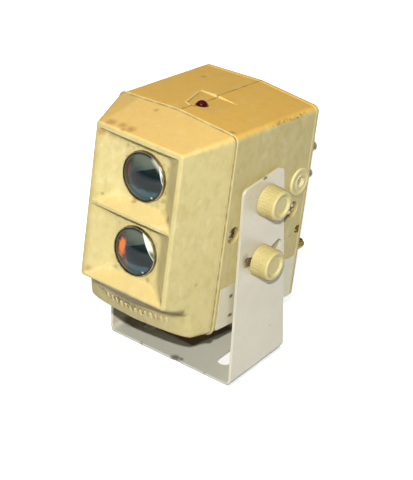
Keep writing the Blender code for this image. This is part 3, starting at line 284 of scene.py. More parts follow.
def soften(points, radii, steps=4, closed=False):
    """A line through points of any dimension, with its corners eased into short curves."""
    eased = []
    count = len(points)
    for i, point in enumerate(points):
        radius = radii[i] if isinstance(radii, (list, tuple)) else radii
        if radius <= 0 or (not closed and i in (0, count - 1)):
            eased.append(tuple(point))
            continue
        here, before, after = [Vector(p) for p in (point, points[i - 1], points[(i + 1) % count])]
        to_before, to_after = before - here, after - here
        reach = min(radius, 0.48 * to_before.length, 0.48 * to_after.length)
        start = here + to_before.normalized() * reach
        end = here + to_after.normalized() * reach
        for k in range(steps + 1):
            t = k / steps
            eased.append(tuple(start * (1 - t) ** 2 + here * 2 * t * (1 - t) + end * t ** 2))
    return eased


def slot_outline(centre, half_length, radius):
    u, v = centre
    top = arc((u, v + half_length - radius), radius, 0.0, math.pi, SMALL_ROUND // 2)
    bottom = arc((u, v - half_length + radius), radius, math.pi, math.tau, SMALL_ROUND // 2)
    return top + bottom


def body_outline(inset=0.0):
    half = HALF - inset
    top = BODY_TOP - inset
    bottom = BODY_BOTTOM + inset
    corners = [(half, bottom), (half, top), (0.0, top + ROOF_RISE), (-half, top), (-half, bottom),
               (0.0, bottom - KEEL_DROP)]
    radius = max(BODY_CORNER - inset, 0.5 * MM)
    return rounded(corners, [radius, radius, 0.0, radius, radius, 0.0])


def half_shell_outline(side, proud=0.0):
    """One housing half's C-shaped cross-section, with its lips' outer edges taken off."""
    split = GAP / 2
    lip = SHELL_LIP

    def line(inset, ease):
        half = HALF - inset
        low = BODY_BOTTOM + inset - KEEL_DROP * (1 - split / HALF)
        high = BODY_TOP - inset + ROOF_RISE * (1 - split / HALF)
        radius = max(BODY_CORNER - inset, 0.5 * MM)
        shell = rounded([(split, low), (half, BODY_BOTTOM + inset), (half, BODY_TOP - inset),
                         (split, high)], [0.0, radius, radius, 0.0])
        if not ease:
            return shell
        return ([(split, low + lip), (split + lip * 0.3, low + lip * 0.3), (split + lip, low)]
                + shell[1:-1] + [(split + lip, high), (split + lip * 0.3, high - lip * 0.3),
                                 (split, high - lip)])

    return [(side * x, z) for x, z in line(-proud, True) + line(WALL, False)[::-1]]


def snout_share(y):
    return (BODY_FRONT - y) / SNOUT_LENGTH


def snout_ring(y, bottom, keel, bow, inset=0.0, sweep=0.0, radius_cut=0.0):
    """One cross-section of the snout. Its lower edge bows forward in plan and sweeps back
    into the sides at its ends."""
    share = snout_share(y)
    top = BODY_TOP - SNOUT_TOP_DROP * share - inset
    rise = ROOF_RISE * (1 - share)
    top_half = HALF - SNOUT_SIDE_INSET * share - inset
    bottom_half = HALF - SNOUT_SIDE_INSET * snout_share(y + bow + sweep) - inset
    radius = max(BODY_CORNER + (FRAME_CORNER - BODY_CORNER) * share - radius_cut, 0.4 * MM)
    corners = [(bottom_half, bottom), (top_half, top), (0.0, top + rise), (-top_half, top),
               (-bottom_half, bottom)]
    outline = rounded(corners, [radius, radius, 0.0, radius, radius])
    spread = [bottom_half * k / 16 for k in range(-15, 16)]
    outline += [(x, bottom - keel * (1 - abs(x) / bottom_half)) for x in spread]
    points = []
    for x, z in outline:
        out = min(abs(x) / bottom_half, 1.0)
        upper = z > (top + bottom) / 2
        points.append((x, y if upper else y + bow * out ** 2 + sweep * out ** 10, z))
    return points


def tab_outline(clearance):
    return [(CUT, POCKET_FRONT - clearance),
            (-TAB_FRONT_LEFT - clearance, POCKET_FRONT + TAB_FRONT_SHOULDER - clearance),
            (-TAB_LEFT - clearance, POCKET_REAR - TAB_FRONT_SHOULDER),
            (-TAB_LEFT - clearance, POCKET_REAR + clearance),
            (CUT, POCKET_REAR + clearance)]


# ------------------------------------------------------------------ solids
def skin(rings, closed=False):
    """A surface through rings, each of as many points, with its ends capped or joined."""
    shape = bmesh.new()
    loops = [[shape.verts.new(point) for point in ring] for ring in rings]
    count = len(loops[0])
    for near, far in zip(loops, loops[1:] + loops[:closed]):
        for i in range(count):
            j = (i + 1) % count
            shape.faces.new((near[i], near[j], far[j], far[i]))
    if not closed:
        shape.faces.new(loops[0])
        shape.faces.new(loops[-1])
    bmesh.ops.recalc_face_normals(shape, faces=shape.faces)
    return shape


def along(axis, distance, u, v):
    return {"X": (distance, u, v), "Y": (u, distance, v), "Z": (u, v, distance)}[axis]


def ring(axis, distance, outline):
    return [along(axis, distance, u, v) for u, v in outline]


def prism(outline, axis, start, end):
    return skin([ring(axis, start, outline), ring(axis, end, outline)])


def frame_ring(outer, inner, axis, start, end):
    return skin([ring(axis, start, outer), ring(axis, end, outer), ring(axis, end, inner),
                 ring(axis, start, inner)], True)


def turned(profile, axis, centre=(0.0, 0.0), steps=ROUND, direction=1.0):
    """A solid of revolution from (distance, radius) pairs; a radius of 0 is on the axis."""
    shape = bmesh.new()
    loops = []
    for distance, radius in profile:
        ring = circle(centre, radius, steps) if radius > 1e-7 else [centre]
        loops.append([shape.verts.new(along(axis, direction * distance, u, v)) for u, v in ring])
    pairs = list(zip(loops, loops[1:]))
    if len(loops[0]) > 1:
        pairs.append((loops[-1], loops[0]))
    for near, far in pairs:
        for i in range(steps):
            j = (i + 1) % steps
            if len(near) == 1:
                shape.faces.new((near[0], far[i], far[j]))
            elif len(far) == 1:
                shape.faces.new((near[i], near[j], far[0]))
            else:
                shape.faces.new((near[i], near[j], far[j], far[i]))
    bmesh.ops.recalc_face_normals(shape, faces=shape.faces)
    return shape


def rod(axis, centre, radius, start, end, steps=SMALL_ROUND, direction=1.0):
    profile = [(start, 0.0), (start, radius), (end, radius), (end, 0.0)]
    return turned(profile, axis, centre, steps, direction)


def merged(shapes):
    together = bmesh.new()
    for shape in shapes:
        holder = bpy.data.meshes.new("holder")
        shape.to_mesh(holder)
        shape.free()
        together.from_mesh(holder)
        bpy.data.meshes.remove(holder)
    return together


# ------------------------------------------------------------------ pieces
def linked(name, data):
    made = bpy.data.objects.new(name, data)
    bpy.context.scene.collection.objects.link(made)
    return made


def new_object(name, shape):
    mesh = bpy.data.meshes.new(name)
    shape.to_mesh(mesh)
    shape.free()
    return linked(name, mesh)


def shaped(name, shape, nodes, finish, changes=(), bevel=0.0, sharp=32.0, body="head",
           matrix=HEAD):
    """A mesh piece: a shape, Boolean changes to it, a small bevel, smooth shading, the CAD nodes
    that it stands for, a finish, and the body that it rides on."""
    piece = new_object(name, shape)
    guides = []
    for operation, other in changes:
        guide = new_object(name + ".guide", other)
        change = piece.modifiers.new("change", "BOOLEAN")
        change.operation = operation
        change.solver = "EXACT"
        change.object = guide
        guides.append(guide)
    if bevel:
        edge = piece.modifiers.new("edge", "BEVEL")
        edge.width = bevel
        edge.segments = 2
        edge.limit_method = "ANGLE"
        edge.angle_limit = math.radians(40.0)
        edge.use_clamp_overlap = True
    settle(piece, sharp)
    for guide in guides:
        bpy.data.objects.remove(guide)
    piece.matrix_world = matrix
    dress(piece, finish)
    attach(piece, body)
    if nodes:
        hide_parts(*nodes)


def settle(piece, sharp):
    """Replaces a piece's mesh by its evaluated one, shaded smooth across gentle edges only and
    with the largest faces deciding the normals at their corners."""
    graph = bpy.context.evaluated_depsgraph_get()
    done = bpy.data.meshes.new_from_object(piece.evaluated_get(graph))
    done.name = piece.name
    piece.modifiers.clear()
    piece.data = done
    done.shade_smooth()
    limit = math.cos(math.radians(sharp))
    around = [[] for _ in done.vertices]
    for face in done.polygons:
        heavy = Vector(face.normal) * (face.area * 1e6) ** 1.5
        for index in face.vertices:
            around[index].append((face.normal.copy(), heavy))
    normals = []
    for face in done.polygons:
        own = face.normal
        for index in face.vertices:
            total = Vector((0.0, 0.0, 0.0))
            for normal, heavy in around[index]:
                if normal.dot(own) > limit:
                    total += heavy
            normals.append(total.normalized() if total.length > 1e-12 else own.copy())
    done.normals_split_custom_set(normals)


def dress(piece, finish):
    piece.data.materials.clear()
    piece.data.materials.append(finish)


# ------------------------------------------------------------------ node materials
def linear(level):
    """A linear colour value from a 0..255 display value."""
    level /= 255
    return level / 12.92 if level <= 0.04045 else ((level + 0.055) / 1.055) ** 2.4


class Finish:
    """A Principled material with small helpers to build its nodes. Sizes are in mm. A colour is
    a socket or three 0..255 display values, and tint is the surface's colour so far."""

    def __init__(self, name, roughness=0.5, metallic=0.0):
        self.material = bpy.data.materials.new(name)
        self.material.use_nodes = True
        self.tree = self.material.node_tree
        self.shader = self.tree.nodes["Principled BSDF"]
        self.set("Roughness", roughness).set("Metallic", metallic)
        coordinates = self.node("ShaderNodeTexCoord")
        self.position = coordinates["Object"]
        self.at = self.node("ShaderNodeSeparateXYZ", [self.position])
        self.facing = self.node("ShaderNodeSeparateXYZ", [coordinates["Normal"]])
        self.tint = None

    def set(self, name, value):
        self.feed(self.shader.inputs[name], value)
        return self

    def node(self, kind, inputs=(), **settings):
        """The outputs of a new node, whose inputs are given in order or by key."""
        made = self.tree.nodes.new(kind)
        for key, value in settings.items():
            setattr(made, key, value)
        for key, value in inputs.items() if isinstance(inputs, dict) else enumerate(inputs):
            self.feed(made.inputs[key], value)
        return made.outputs

    def feed(self, socket, value):
        if hasattr(value, "is_output"):
            self.tree.links.new(value, socket)
        elif socket.type == "RGBA" and len(value) == 3:
            socket.default_value = (*map(linear, value), 1.0)
        else:
            socket.default_value = value

    def math(self, operation, *values):
        return self.node("ShaderNodeMath", values, operation=operation)[0]

    def vector(self, operation, *values):
        return self.node("ShaderNodeVectorMath", values, operation=operation)

    def noise(self, size, detail=3.0, roughness=0.55, stretch=(1.0, 1.0, 1.0)):
        """Noise with features of about this size."""
        spot = self.node("ShaderNodeMapping", {"Vector": self.position, "Scale": stretch})[0]
        return self.node("ShaderNodeTexNoise", {
            "Vector": spot, "Scale": 1.0 / (size * MM), "Detail": detail,
            "Roughness": roughness})["Fac"]

    def cells(self, size, **settings):
        return self.node("ShaderNodeTexVoronoi", {
            "Vector": self.position, "Scale": 1 / (size * MM)}, **settings)["Distance"]

    def step(self, value, low, high):
        """0 below low and 1 above high, with a smooth ramp between; low may be above high."""
        ends = (0.0, 1.0) if low < high else (1.0, 0.0)
        return self.node("ShaderNodeMapRange", (value, min(low, high), max(low, high), *ends),
                         interpolation_type="SMOOTHSTEP", clamp=True)[0]

    def beyond(self, axis, low, high):
        """A step along an axis."""
        return self.step(self.at[axis], low * MM, high * MM)

    def band(self, value, middle, half, soft):
        away = self.math("ABSOLUTE", self.math("SUBTRACT", value, middle))
        return self.step(away, half + soft, max(half - soft, 0.0))

    def strip(self, axis, middle, half, soft):
        """A band across an axis."""
        return self.band(self.at[axis], middle * MM, half * MM, soft * MM)

    def share(self, value, low, high):
        """Maps a 0..1 value to low..high."""
        return self.node("ShaderNodeMapRange", (value, 0.0, 1.0, low, high), clamp=True)[0]

    def joined(self, operation, masks):
        out = masks[0]
        for mask in masks[1:]:
            out = self.math(operation, out, mask)
        return out

    def both(self, *masks):
        return self.joined("MULTIPLY", masks)

    def either(self, *masks):
        return self.joined("MAXIMUM", masks)

    def blot(self, centre, radius, soft, waver=None, stretch=(1.0, 1.0, 1.0)):
        """A soft round mark about a point, its outline broken up by a noise."""
        radius, soft = radius * MM, soft * MM
        away = self.vector("SUBTRACT", self.position, [c * MM for c in centre])[0]
        away = self.vector("MULTIPLY", away, stretch)[0]
        distance = self.vector("LENGTH", away)["Value"]
        if waver is not None:
            distance = self.math("MULTIPLY_ADD", waver, 1.6 * radius,
                                 self.math("SUBTRACT", distance, 0.8 * radius))
        return self.step(distance, radius + soft, max(radius - soft, 0.0))

    def blots(self, marks, soft, size, roughness):
        """Several marks with ragged outlines: the centre, radius and strength of each."""
        return self.either(*[
            self.both(self.blot(centre, radius, soft * radius, self.noise(size, 3.0, roughness)),
                      strength) for centre, radius, strength in marks])

    def mix(self, amount, first, second):
        return self.node("ShaderNodeMix", {0: amount, 6: first, 7: second}, data_type="RGBA")[2]

    def lay(self, mask, colour, strength=None):
        """Lays a colour over the tint."""
        mask = mask if strength is None else self.both(mask, strength)
        self.tint = self.mix(mask, self.tint, colour)

    def done(self, bump, depth, strength):
        """Links the tint and a bump of this depth, and gives the material."""
        self.set("Base Color", self.tint)
        return self.set("Normal", self.node("ShaderNodeBump", {
            "Height": bump, "Distance": depth * MM, "Strength": strength})[0]).material


CREAM = (214, 203, 150)
CREAM_SHADE = (196, 182, 122)
YELLOWED = (242, 196, 98)
YELLOWED_FRONT = (236, 200, 122)
# dark brown for dirt, and for painted shade and shadow
GRIME_AND_SHADE = (92, 66, 30)
STAIN = (150, 112, 58)

# brown marks on the plastic: centre (mm, from the tilt axis), radius (mm), strength
STAINS = [((-21.9, -56.8, 36.2), 2.6, 0.55), ((-15.0, -55.9, 36.3), 2.2, 0.5),
          ((-9.0, -56.4, 36.4), 2.4, 0.6), ((-12.0, -58.5, 35.8), 1.6, 0.5),
          ((-10.1, -35.1, 41.7), 1.3, 0.45), ((-24.8, 24.4, 42.2), 1.4, 0.5),
          ((33.4, -25.9, 41.7), 1.5, 0.55), ((39.1, -30.2, 2.7), 0.9, 0.25),
          ((34.9, -42.5, -40.6), 0.9, 0.45), ((-22.2, -57.1, -4.8), 0.75, 0.8),
          ((-4.6, -52.0, -3.9), 1.5, 0.75), ((20.1, -55.3, 26.4), 0.8, 0.5),
          ((21.0, -56.0, -4.2), 1.7, 0.75), ((20.9, -56.0, -15.7), 0.8, 0.5),
          ((9.5, -51.4, -44.9), 1.2, 0.6), ((-24.9, -59.6, 30.2), 2.0, 0.75),
          ((-20.0, -56.8, 29.2), 2.4, 0.45), ((25.2, -59.0, -48.5), 1.5, 0.7),
          ((-25.0, -58.6, -49.0), 1.6, 0.5)]

# hollows in the side darkened with painted shade, in the same terms
SHADED_HOLLOWS = [((39.0, 41.0, -30.3), 3.0, 0.95), ((37.0, -20.9, -16.4), 4.8, 0.7),
           ((37.0, 32.7, -16.4), 4.8, 0.6)]

# painted shadow on the side behind the ends of the arm's curved slot: centre and radius
SHADOW_BEHIND_SLOT = [((39.3, 13.9, -27.2), 3.6), ((39.3, -11.4, -31.7), 3.2)]

# dark chips and scrapes in the bracket's paint, in mm from the world's origin
CHIPS = [((42.7, 3.4, 121.0), 0.9, 0.9), ((42.9, 2.0, 120.9), 0.8, 0.8),
         ((3.8, -24.0, 1.0), 2.6, 0.85), ((43.0, 11.1, 22.3), 0.5, 0.5),
         ((43.0, -13.4, 78.6), 2.6, 0.3), ((-20.0, -24.2, 0.8), 1.0, 0.5),
         ((25.0, -24.3, 0.9), 0.8, 0.4), ((7.2, -22.6, 1.6), 1.4, 0.7)]


def cream(name, marks=(), upward=True):
    """Aged, yellowed ABS with a fine moulded texture, and brown marks."""
    f = Finish(name)
    wide = f.noise(22, 2.0)
    f.cloud = f.noise(7, 4.0, 0.6)
    f.fine = f.noise(0.55, 2.0, 0.6)
    f.tint = f.mix(f.share(wide, 0.1, 0.9), CREAM, CREAM_SHADE)
    if upward:
        lift = f.math("MULTIPLY_ADD", f.cloud, 0.3, f.facing["Z"])
        aged = f.both(f.step(lift, 0.38, 0.95), f.share(f.beyond("Z", 33.0, 35.5), 0.3, 1.0))
        behind = f.step(f.at["Y"], BODY_FRONT - MM, BODY_FRONT)
        f.lay(aged, f.mix(behind, YELLOWED_FRONT, YELLOWED))
    f.lay(f.step(f.cloud, 0.52, 0.78), f.mix(0.35, f.tint, (232, 224, 180)))
    streaks = f.step(f.noise(4.5, 5.0, 0.6, (1.0, 1.0, 0.7)), 0.42, 0.75)
    f.lay(streaks, (158, 144, 88), f.share(f.step(f.facing["Z"], 0.9, 0.5), 0.1, 0.3))
    f.lay(f.share(f.fine, 0.0, 0.22), (150, 128, 70))
    # a painted highlight along the raised bead just behind the seam
    f.lay(f.band(f.at["Y"], BODY_FRONT + 0.8 * MM, 0.55 * MM, 0.25 * MM), (250, 232, 172), 0.5)
    f.dirt = f.blots(marks, 0.9, 1.1, 0.65) if marks else None
    return f


def cream_end(f, grime_and_shade=None):
    """Lays the marks, and the grime with its painted shade, over the plastic and links the shader.
    """
    for mask, colour in ((f.dirt, STAIN), (grime_and_shade, GRIME_AND_SHADE)):
        if mask is not None:
            f.lay(mask, colour)
    f.set("Roughness", f.share(f.cloud, 0.48, 0.66)).set("Specular IOR Level", 0.3)
    return f.done(f.fine, 0.05, 0.55)


def pale_cream(name, amount, colour, **settings):
    """The plastic without marks, paler by this much."""
    f = cream(name, **settings)
    f.lay(amount, colour)
    return f


def seam_grime(f):
    """Dirt along the seam behind the snout and along the roof's centre line."""
    break_up = f.step(f.noise(5, 3.0), 0.3, 0.65)
    seam = f.band(f.at["Y"], BODY_FRONT - 0.15 * MM, 0.3 * MM, 0.25 * MM)
    split = f.both(f.strip("X", 0.0, 0.3, 0.4), f.beyond("Z", 38, 40),
                   f.step(f.at["Y"], BODY_FRONT, BODY_FRONT + MM))
    return f.either(f.both(seam, f.share(break_up, 0.25, 0.6)),
                    f.both(split, f.share(break_up, 0.35, 0.8)))


def front_plastic():
    """The snout's plastic, with painted shadow and dirt in the chin's groove under the frame, dirt
    on its ribs, darker creases at the back of the recesses, and painted shade towards its left
    edge.
    """
    f = cream("front_plastic", STAINS)
    front_zone = f.beyond("Y", -46.5, -49.0)
    # painted shadow of the frame's lip on the chin, together with dirt in the groove
    groove = f.both(f.beyond("Z", -53.0, -56.0), front_zone, f.beyond("Z", -63.0, -59.5),
                    f.share(f.noise(3.5, 4.0), 0.55, 1.0))
    # darker along the creases at the back of the recesses
    rim = f.both(f.band(f.at["Y"], RECESS_Y, 0.1 * MM, 0.6 * MM),
                 f.step(f.noise(4, 4.0), 0.5, 0.75), f.beyond("Z", 34.0, 33.0),
                 f.strip("X", 0.0, 26.0, 0.5))
    # painted shade: the snout darker and yellower towards its left edge
    f.lay(f.beyond("X", -24.5, -27.5), (176, 152, 84), 0.35)
    ribs = f.both(f.strip("Z", -64.5, 2.6, 1.4), f.beyond("X", 36.0, -4.0), front_zone,
                  f.step(f.noise(1.6, 4.0, 0.7), 0.36, 0.6))
    return cream_end(f, f.either(f.both(groove, 0.95), seam_grime(f), f.both(rim, 0.5),
                                 f.both(ribs, 0.9)))


def body_plastic():
    """The housing's plastic, with painted shade in its hollows and painted shadow behind the ends
    of the arm's slot, and a broken dark line along the roof's edge.
    """
    f = cream("body_plastic", STAINS)
    below_side = f.step(f.at["X"], HALF - 0.05 * MM, HALF - 0.3 * MM)
    # painted shade inside the side's hollows
    shaded_spots = [f.both(f.blot(centre, radius, 0.5), strength, below_side)
               for centre, radius, strength in SHADED_HOLLOWS]
    # painted shadow behind the ends of the arm's slot
    shaded_spots += [f.both(f.blot(centre, radius, 1.0), 0.85) for centre, radius in SHADOW_BEHIND_SLOT]
    edge = f.both(f.band(f.at["Z"], BODY_TOP - 1.4 * MM, 0.5 * MM, 1.2 * MM),
                  f.beyond("Y", -4, 10), f.beyond("Y", 36, 28), f.beyond("X", 36, 38),
                  f.step(f.noise(2.5, 4.0, 0.7), 0.42, 0.62))
    return cream_end(f, f.either(seam_grime(f), f.both(edge, 0.85), *shaded_spots))


def knob_plastic():
    f = pale_cream("knob_plastic", 0.55, (218, 208, 152), upward=False)
    # painted shade: the knob's sides darker than its face
    face = f.step(f.math("ABSOLUTE", f.facing["X"]), 0.35, 0.8)
    f.tint = f.mix(face, f.mix(0.75, f.tint, (186, 172, 112)), f.tint)
    worn = f.step(f.noise(0.9, 3.0, 0.7), 0.42, 0.75)
    return cream_end(f, f.both(worn, f.share(face, 0.3, 0.07)))


def painted_steel():
    """Warm light grey paint on sheet steel, with worn, dark chips on its edges and a painted
    shadow of the head on the base.
    """
    f = Finish("bracket_paint", 0.42)
    wide = f.noise(16, 3.0)
    brushed = f.noise(1.2, 3.0, 0.6, (1.0, 1.0, 0.12))
    f.tint = f.mix(f.share(wide, 0.0, 1.0), (213, 207, 190), (199, 195, 174))
    f.lay(brushed, (226, 222, 214), 0.25)
    f.lay(f.step(f.noise(1.4, 3.0, 0.7), 0.72, 0.8), (120, 112, 98), 0.4)
    rub = f.both(f.strip("Z", 107.2, 9.5, 2.0), f.step(f.noise(2.0, 3.0), 0.55, 0.7))
    f.lay(rub, (140, 132, 116), 0.15)
    f.lay(f.beyond("Z", 3.5, 1.5), (182, 182, 170), 0.85)
    # painted shadow of the head on the base's deck, in brown
    sideways = f.math("MULTIPLY_ADD", f.at["Y"], -0.25, f.at["X"])
    head_shadow = f.both(f.beyond("Z", 4.0, 3.0), f.beyond("Y", -9.5, -7.5),
                  f.step(sideways, 8.0 * MM, 5.5 * MM), f.beyond("Y", 23.0, 17.0))
    f.lay(head_shadow, (92, 62, 20), f.share(wide, 0.75, 1.0))
    f.lay(f.blots(CHIPS, 0.6, 0.8, 0.7), (70, 60, 48))
    f.set("Roughness", f.share(brushed, 0.32, 0.5)).set("Metallic", 0.15)
    return f.done(f.noise(0.5, 2.0), 0.03, 0.4)


def metal(name, colour, dark, roughness=0.3, size=0.9):
    """Plated metal with fine scratches and duller patches."""
    f = Finish(name, roughness, 1.0)
    patch = f.noise(size, 4.0, 0.65)
    f.tint = f.mix(f.step(patch, 0.35, 0.75), colour, dark)
    f.set("Roughness", f.share(patch, roughness * 0.8, min(roughness * 1.6, 1.0)))
    return f.done(f.noise(0.25, 2.0, 0.5, (1.0, 0.15, 1.0)), 0.01, 0.4)


def moulding(name, colour, other, roughness=0.5, size=3, grain=0.4):
    """Plain moulded plastic or rubber with slight colour variation and a grain."""
    f = Finish(name, roughness)
    cloud = f.noise(size, 3.0)
    f.tint = f.mix(cloud, colour, other)
    f.set("Roughness", f.share(cloud, roughness * 0.85, min(roughness * 1.2, 1.0)))
    return f.done(f.noise(grain, 2.0), 0.03, 0.4)


def circuit_board():
    """Green solder mask with lighter tracks and small pads."""
    f = Finish("circuit_board_green", 0.35)
    track = f.step(f.cells(4.2, feature="DISTANCE_TO_EDGE", distance="MANHATTAN"), 0.10, 0.06)
    f.tint = f.mix(f.noise(6), (30, 86, 44), (22, 70, 40))
    f.lay(track, (66, 128, 66))
    f.lay(f.step(f.cells(3.0), 0.22, 0.16), (190, 184, 160))
    return f.done(track, 0.04, 0.5)


def label_print():
    """A silvery printed plate, with plain bars and blocks in place of its print."""
    f = Finish("label_print", 0.4)
    y = f.math("DIVIDE", f.at["Y"], MM)
    z = f.math("DIVIDE", f.at["Z"], MM)
    front = (BODY_FRONT + LABEL_FRONT) / MM
    low = (BODY_BOTTOM + LABEL_LIFT) / MM
    f.tint = f.mix(f.noise(5, 3.0), (216, 212, 190), (200, 194, 166))
    f.lay(f.share(f.noise(0.4), 0.0, 0.25), (160, 150, 120))
    upper = f.both(f.band(y, front + 10.2, 1.4, 0.35), f.band(z, low + 17.8, 1.0, 0.3))
    lower = f.both(f.band(y, front + 11.6, 1.6, 0.35), f.band(z, low + 5.9, 0.9, 0.3))
    rows = f.math("MODULO", f.math("SUBTRACT", z, low), 3.6)
    bars = f.both(f.band(rows, 1.8, 0.5, 0.2), f.band(y, front + 36.0, 17.0, 0.4),
                  f.band(z, low + 12.0, 8.6, 0.3),
                  f.step(f.noise(1.6, 0.0, 0.5, (1.0, 1.0, 0.1)), 0.38, 0.44))
    f.lay(f.either(upper, lower, bars), (52, 46, 38), 0.8)
    return f.set("Metallic", 0.1).done(f.noise(0.7, 2.0), 0.02, 0.3)


def lens_glass(name, centre, amber):
    """A coated glass dome over a dark barrel, painted with reflections: grey-olive above,
    blue-grey below, a dark shape across it, a pale crescent on one side, a bright arc and a glint;
    painted shade round its edge and on its left; and the amber of the part behind the lower lens."""
    f = Finish(name, 0.035)
    u = f.math("DIVIDE", f.at["X"], GLASS_RADIUS)
    v = f.math("DIVIDE", f.math("SUBTRACT", f.at["Z"], centre), GLASS_RADIUS)
    radius = f.math("SQRT", f.math("ADD", f.math("MULTIPLY", u, u), f.math("MULTIPLY", v, v)))

    def spot(at_u, at_v, size, soft, noise, tall):
        """A mark at a place given in radii; tall is its stretch sideways and upright."""
        place_mm = [at_u * GLASS_RADIUS / MM, 0.0, (centre + at_v * GLASS_RADIUS) / MM]
        waver = f.noise(noise, 2.0) if noise else None
        return f.blot(place_mm, size, soft, waver, (tall[0], 0.0, tall[1]))

    # painted reflections: grey-olive towards the top and blue-grey low down
    low = f.math("MULTIPLY_ADD", f.noise(4, 2.0), 0.35, v)
    f.tint = f.mix(f.step(low, 0.2, 1.0), (20, 42, 48), (92, 100, 90))
    f.lay(f.step(low, -0.1, -0.35), (46, 80, 92))
    # a dark painted reflection across the middle of the dome
    slope = f.math("MULTIPLY_ADD", u, -0.45, v)
    f.lay(f.both(f.step(slope, 0.36, 0.3), f.step(v, -0.42, -0.36), f.step(u, -0.5, -0.3),
                 f.step(u, 0.98, 0.9)), (9, 22, 26), 0.85)
    # painted shade inside the glass on its left
    f.lay(f.both(f.step(u, -0.35, -0.7), f.step(radius, 0.93, 0.85)), (42, 22, 16), 0.75)
    # painted shade round the glass's edge
    f.lay(f.step(radius, 0.88, 0.98), (34, 36, 33))
    if amber:
        f.lay(spot(-0.5, 0.12, 3.0, 1.3, 2.4, (1.15, 0.62)), (224, 112, 30))
        f.lay(spot(-0.20, -0.42, 1.4, 1.0, 2.0, (1.4, 0.42)), (130, 60, 34), 0.7)
        lean, reach = 0.68, 0.94
    else:
        f.lay(spot(-0.62, 0.1, 1.6, 1.2, 2.0, (1.3, 0.5)), (86, 30, 20), 0.6)
        lean, reach = 0.38, 0.965
    # the pale crescent and its bright edge line: a painted reflection
    chord = f.math("MULTIPLY_ADD", v, lean, u)
    crescent_reflection = f.mix(f.step(v, 0.2, 0.42), (96, 90, 52), (216, 216, 206))
    crescent_reflection = f.mix(f.band(chord, reach + 0.02, 0.02, 0.02), crescent_reflection, (222, 228, 222))
    f.lay(f.both(f.step(chord, reach, reach + 0.03), f.step(v, -0.5, -0.3)), crescent_reflection)
    # a painted highlight along the upper right of the rim
    f.lay(f.both(f.step(radius, 0.82, 1.0), f.step(u, 0.25, 0.5), f.step(v, 0.35, 0.65)),
          (206, 208, 198), 0.75)
    # a painted glint
    f.lay(spot(0.57, -0.7, 0.5, 0.35, None, (1.0, 1.0)), (226, 214, 180))
    f.set("Coat Weight", 0.2).set("Coat Roughness", 0.02).set("Coat IOR", 1.4)
    f.set("Specular IOR Level", 0.2).set("Roughness", f.share(f.noise(3), 0.02, 0.06))
    f.set("Base Color", f.tint)
    return f.material


# ------------------------------------------------------------------ the head's shell
def recess_cutter(low, high):
    """A four-sided funnel from the frame down to a flat round the lens ring, with its mouth
    rounded over and its corners and creases eased."""
    half_width = FRAME_HALF - FRAME_RIM
    half_height = (high - low) / 2
    middle = (high + low) / 2
    flat = LENS_RADIUS + GAP + RING_WALL + RECESS_FLAT
    line = [(FRAME_Y - CUT, half_width + RECESS_MOUTH, half_height + RECESS_MOUTH)]
    line += [(FRAME_Y + deep, half_width + out, half_height + out)
             for deep, out in quarter(RECESS_MOUTH, 5, 5)]
    line.append((FRAME_Y + RECESS_MOUTH, half_width, half_height))
    inside = flat - RECESS_CORNER
    crease = soften([(FRAME_Y + RECESS_MOUTH, half_width, half_height), (RECESS_Y, flat, flat),
                     (RECESS_Y, inside, inside)], 2.8 * MM, 7)
    rings = []
    for y, half, reach in line + crease[1:]:
        share_y = min(max((y - FRAME_Y) / RECESS_DEPTH, 0.0), 1.0)
        corner = 1.0 * MM + RECESS_CORNER * share_y
        outline = rounded(rectangle(-half, half, middle - reach, middle + reach), [corner] * 4, 5)
        rings.append(ring("Y", y, outline))
    return skin(rings)


def front_housing():
    edge = 1.0 * MM
    seam = 0.35 * MM
    line = [(FRAME_Y + deep, FRAME_BOTTOM + inset, 0.0, 0.0, 0.0, inset)
            for deep, inset in quarter(edge, 4, 5)]
    chin_low = BODY_FRONT - CHIN_BOTTOM_REACH
    corners = [line[-1],
               (BODY_FRONT - CHIN_TOP_REACH, BODY_BOTTOM + CHIN_TOP_LIFT, CHIN_TOP_KEEL,
                CHIN_TOP_BOW, 2.4 * MM, 0.0),
               (chin_low, BODY_BOTTOM, KEEL_DROP / 2, CHIN_BOTTOM_BOW, 3.0 * MM, 0.0),
               (SNOUT_REAR - seam, BODY_BOTTOM, KEEL_DROP, 0.0, 0.0, 0.0)]
    # y stands first twice, so that it weighs more in how far each corner is eased
    eased = soften([(corner[0], *corner) for corner in corners], [0, 0.9 * MM, 2.2 * MM, 0], 6)
    line = line[:-1] + [point[1:] for point in eased]
    line += [(SNOUT_REAR - seam * 0.35, BODY_BOTTOM + seam * 0.3, KEEL_DROP, 0.0, 0.0, seam * 0.3),
             (SNOUT_REAR, BODY_BOTTOM + seam, KEEL_DROP, 0.0, 0.0, seam)]
    rings = [snout_ring(y, bottom, keel, bow, inset, sweep, inset)
             for y, bottom, keel, bow, sweep, inset in line]
    cavity_front = RECESS_Y + RECESS_WALL
    floor_z = BODY_BOTTOM + WALL
    cavity = [snout_ring(cavity_front, FRAME_BOTTOM - WALL, 0.0, 0.0, WALL),
              snout_ring(chin_low + WALL * 1.2, floor_z, KEEL_DROP / 2, CHIN_BOTTOM_BOW, WALL),
              snout_ring(SNOUT_REAR, floor_z, KEEL_DROP, 0.0, WALL),
              snout_ring(SNOUT_REAR + CUT, floor_z, KEEL_DROP, 0.0, WALL)]
    recesses = merged([recess_cutter(*span) for span in RECESSES.values()])
    holes = [rod("Y", (0.0, centre), LENS_RADIUS + GAP, RECESS_Y - CUT, cavity_front + CUT, ROUND)
             for centre in LENS_CENTRES.values()]
    holes.append(frame_ring(body_outline(GASKET_INSET - GAP),
                            body_outline(GASKET_INSET + GASKET_WIDTH + GAP), "Y",
                            SNOUT_REAR - GASKET_DEPTH - GAP, SNOUT_REAR + CUT))
    changes = [("DIFFERENCE", other) for other in (skin(cavity), recesses, merged(holes))]
    shaped("front_shell", skin(rings), ["front_housing"], front_plastic(), changes)


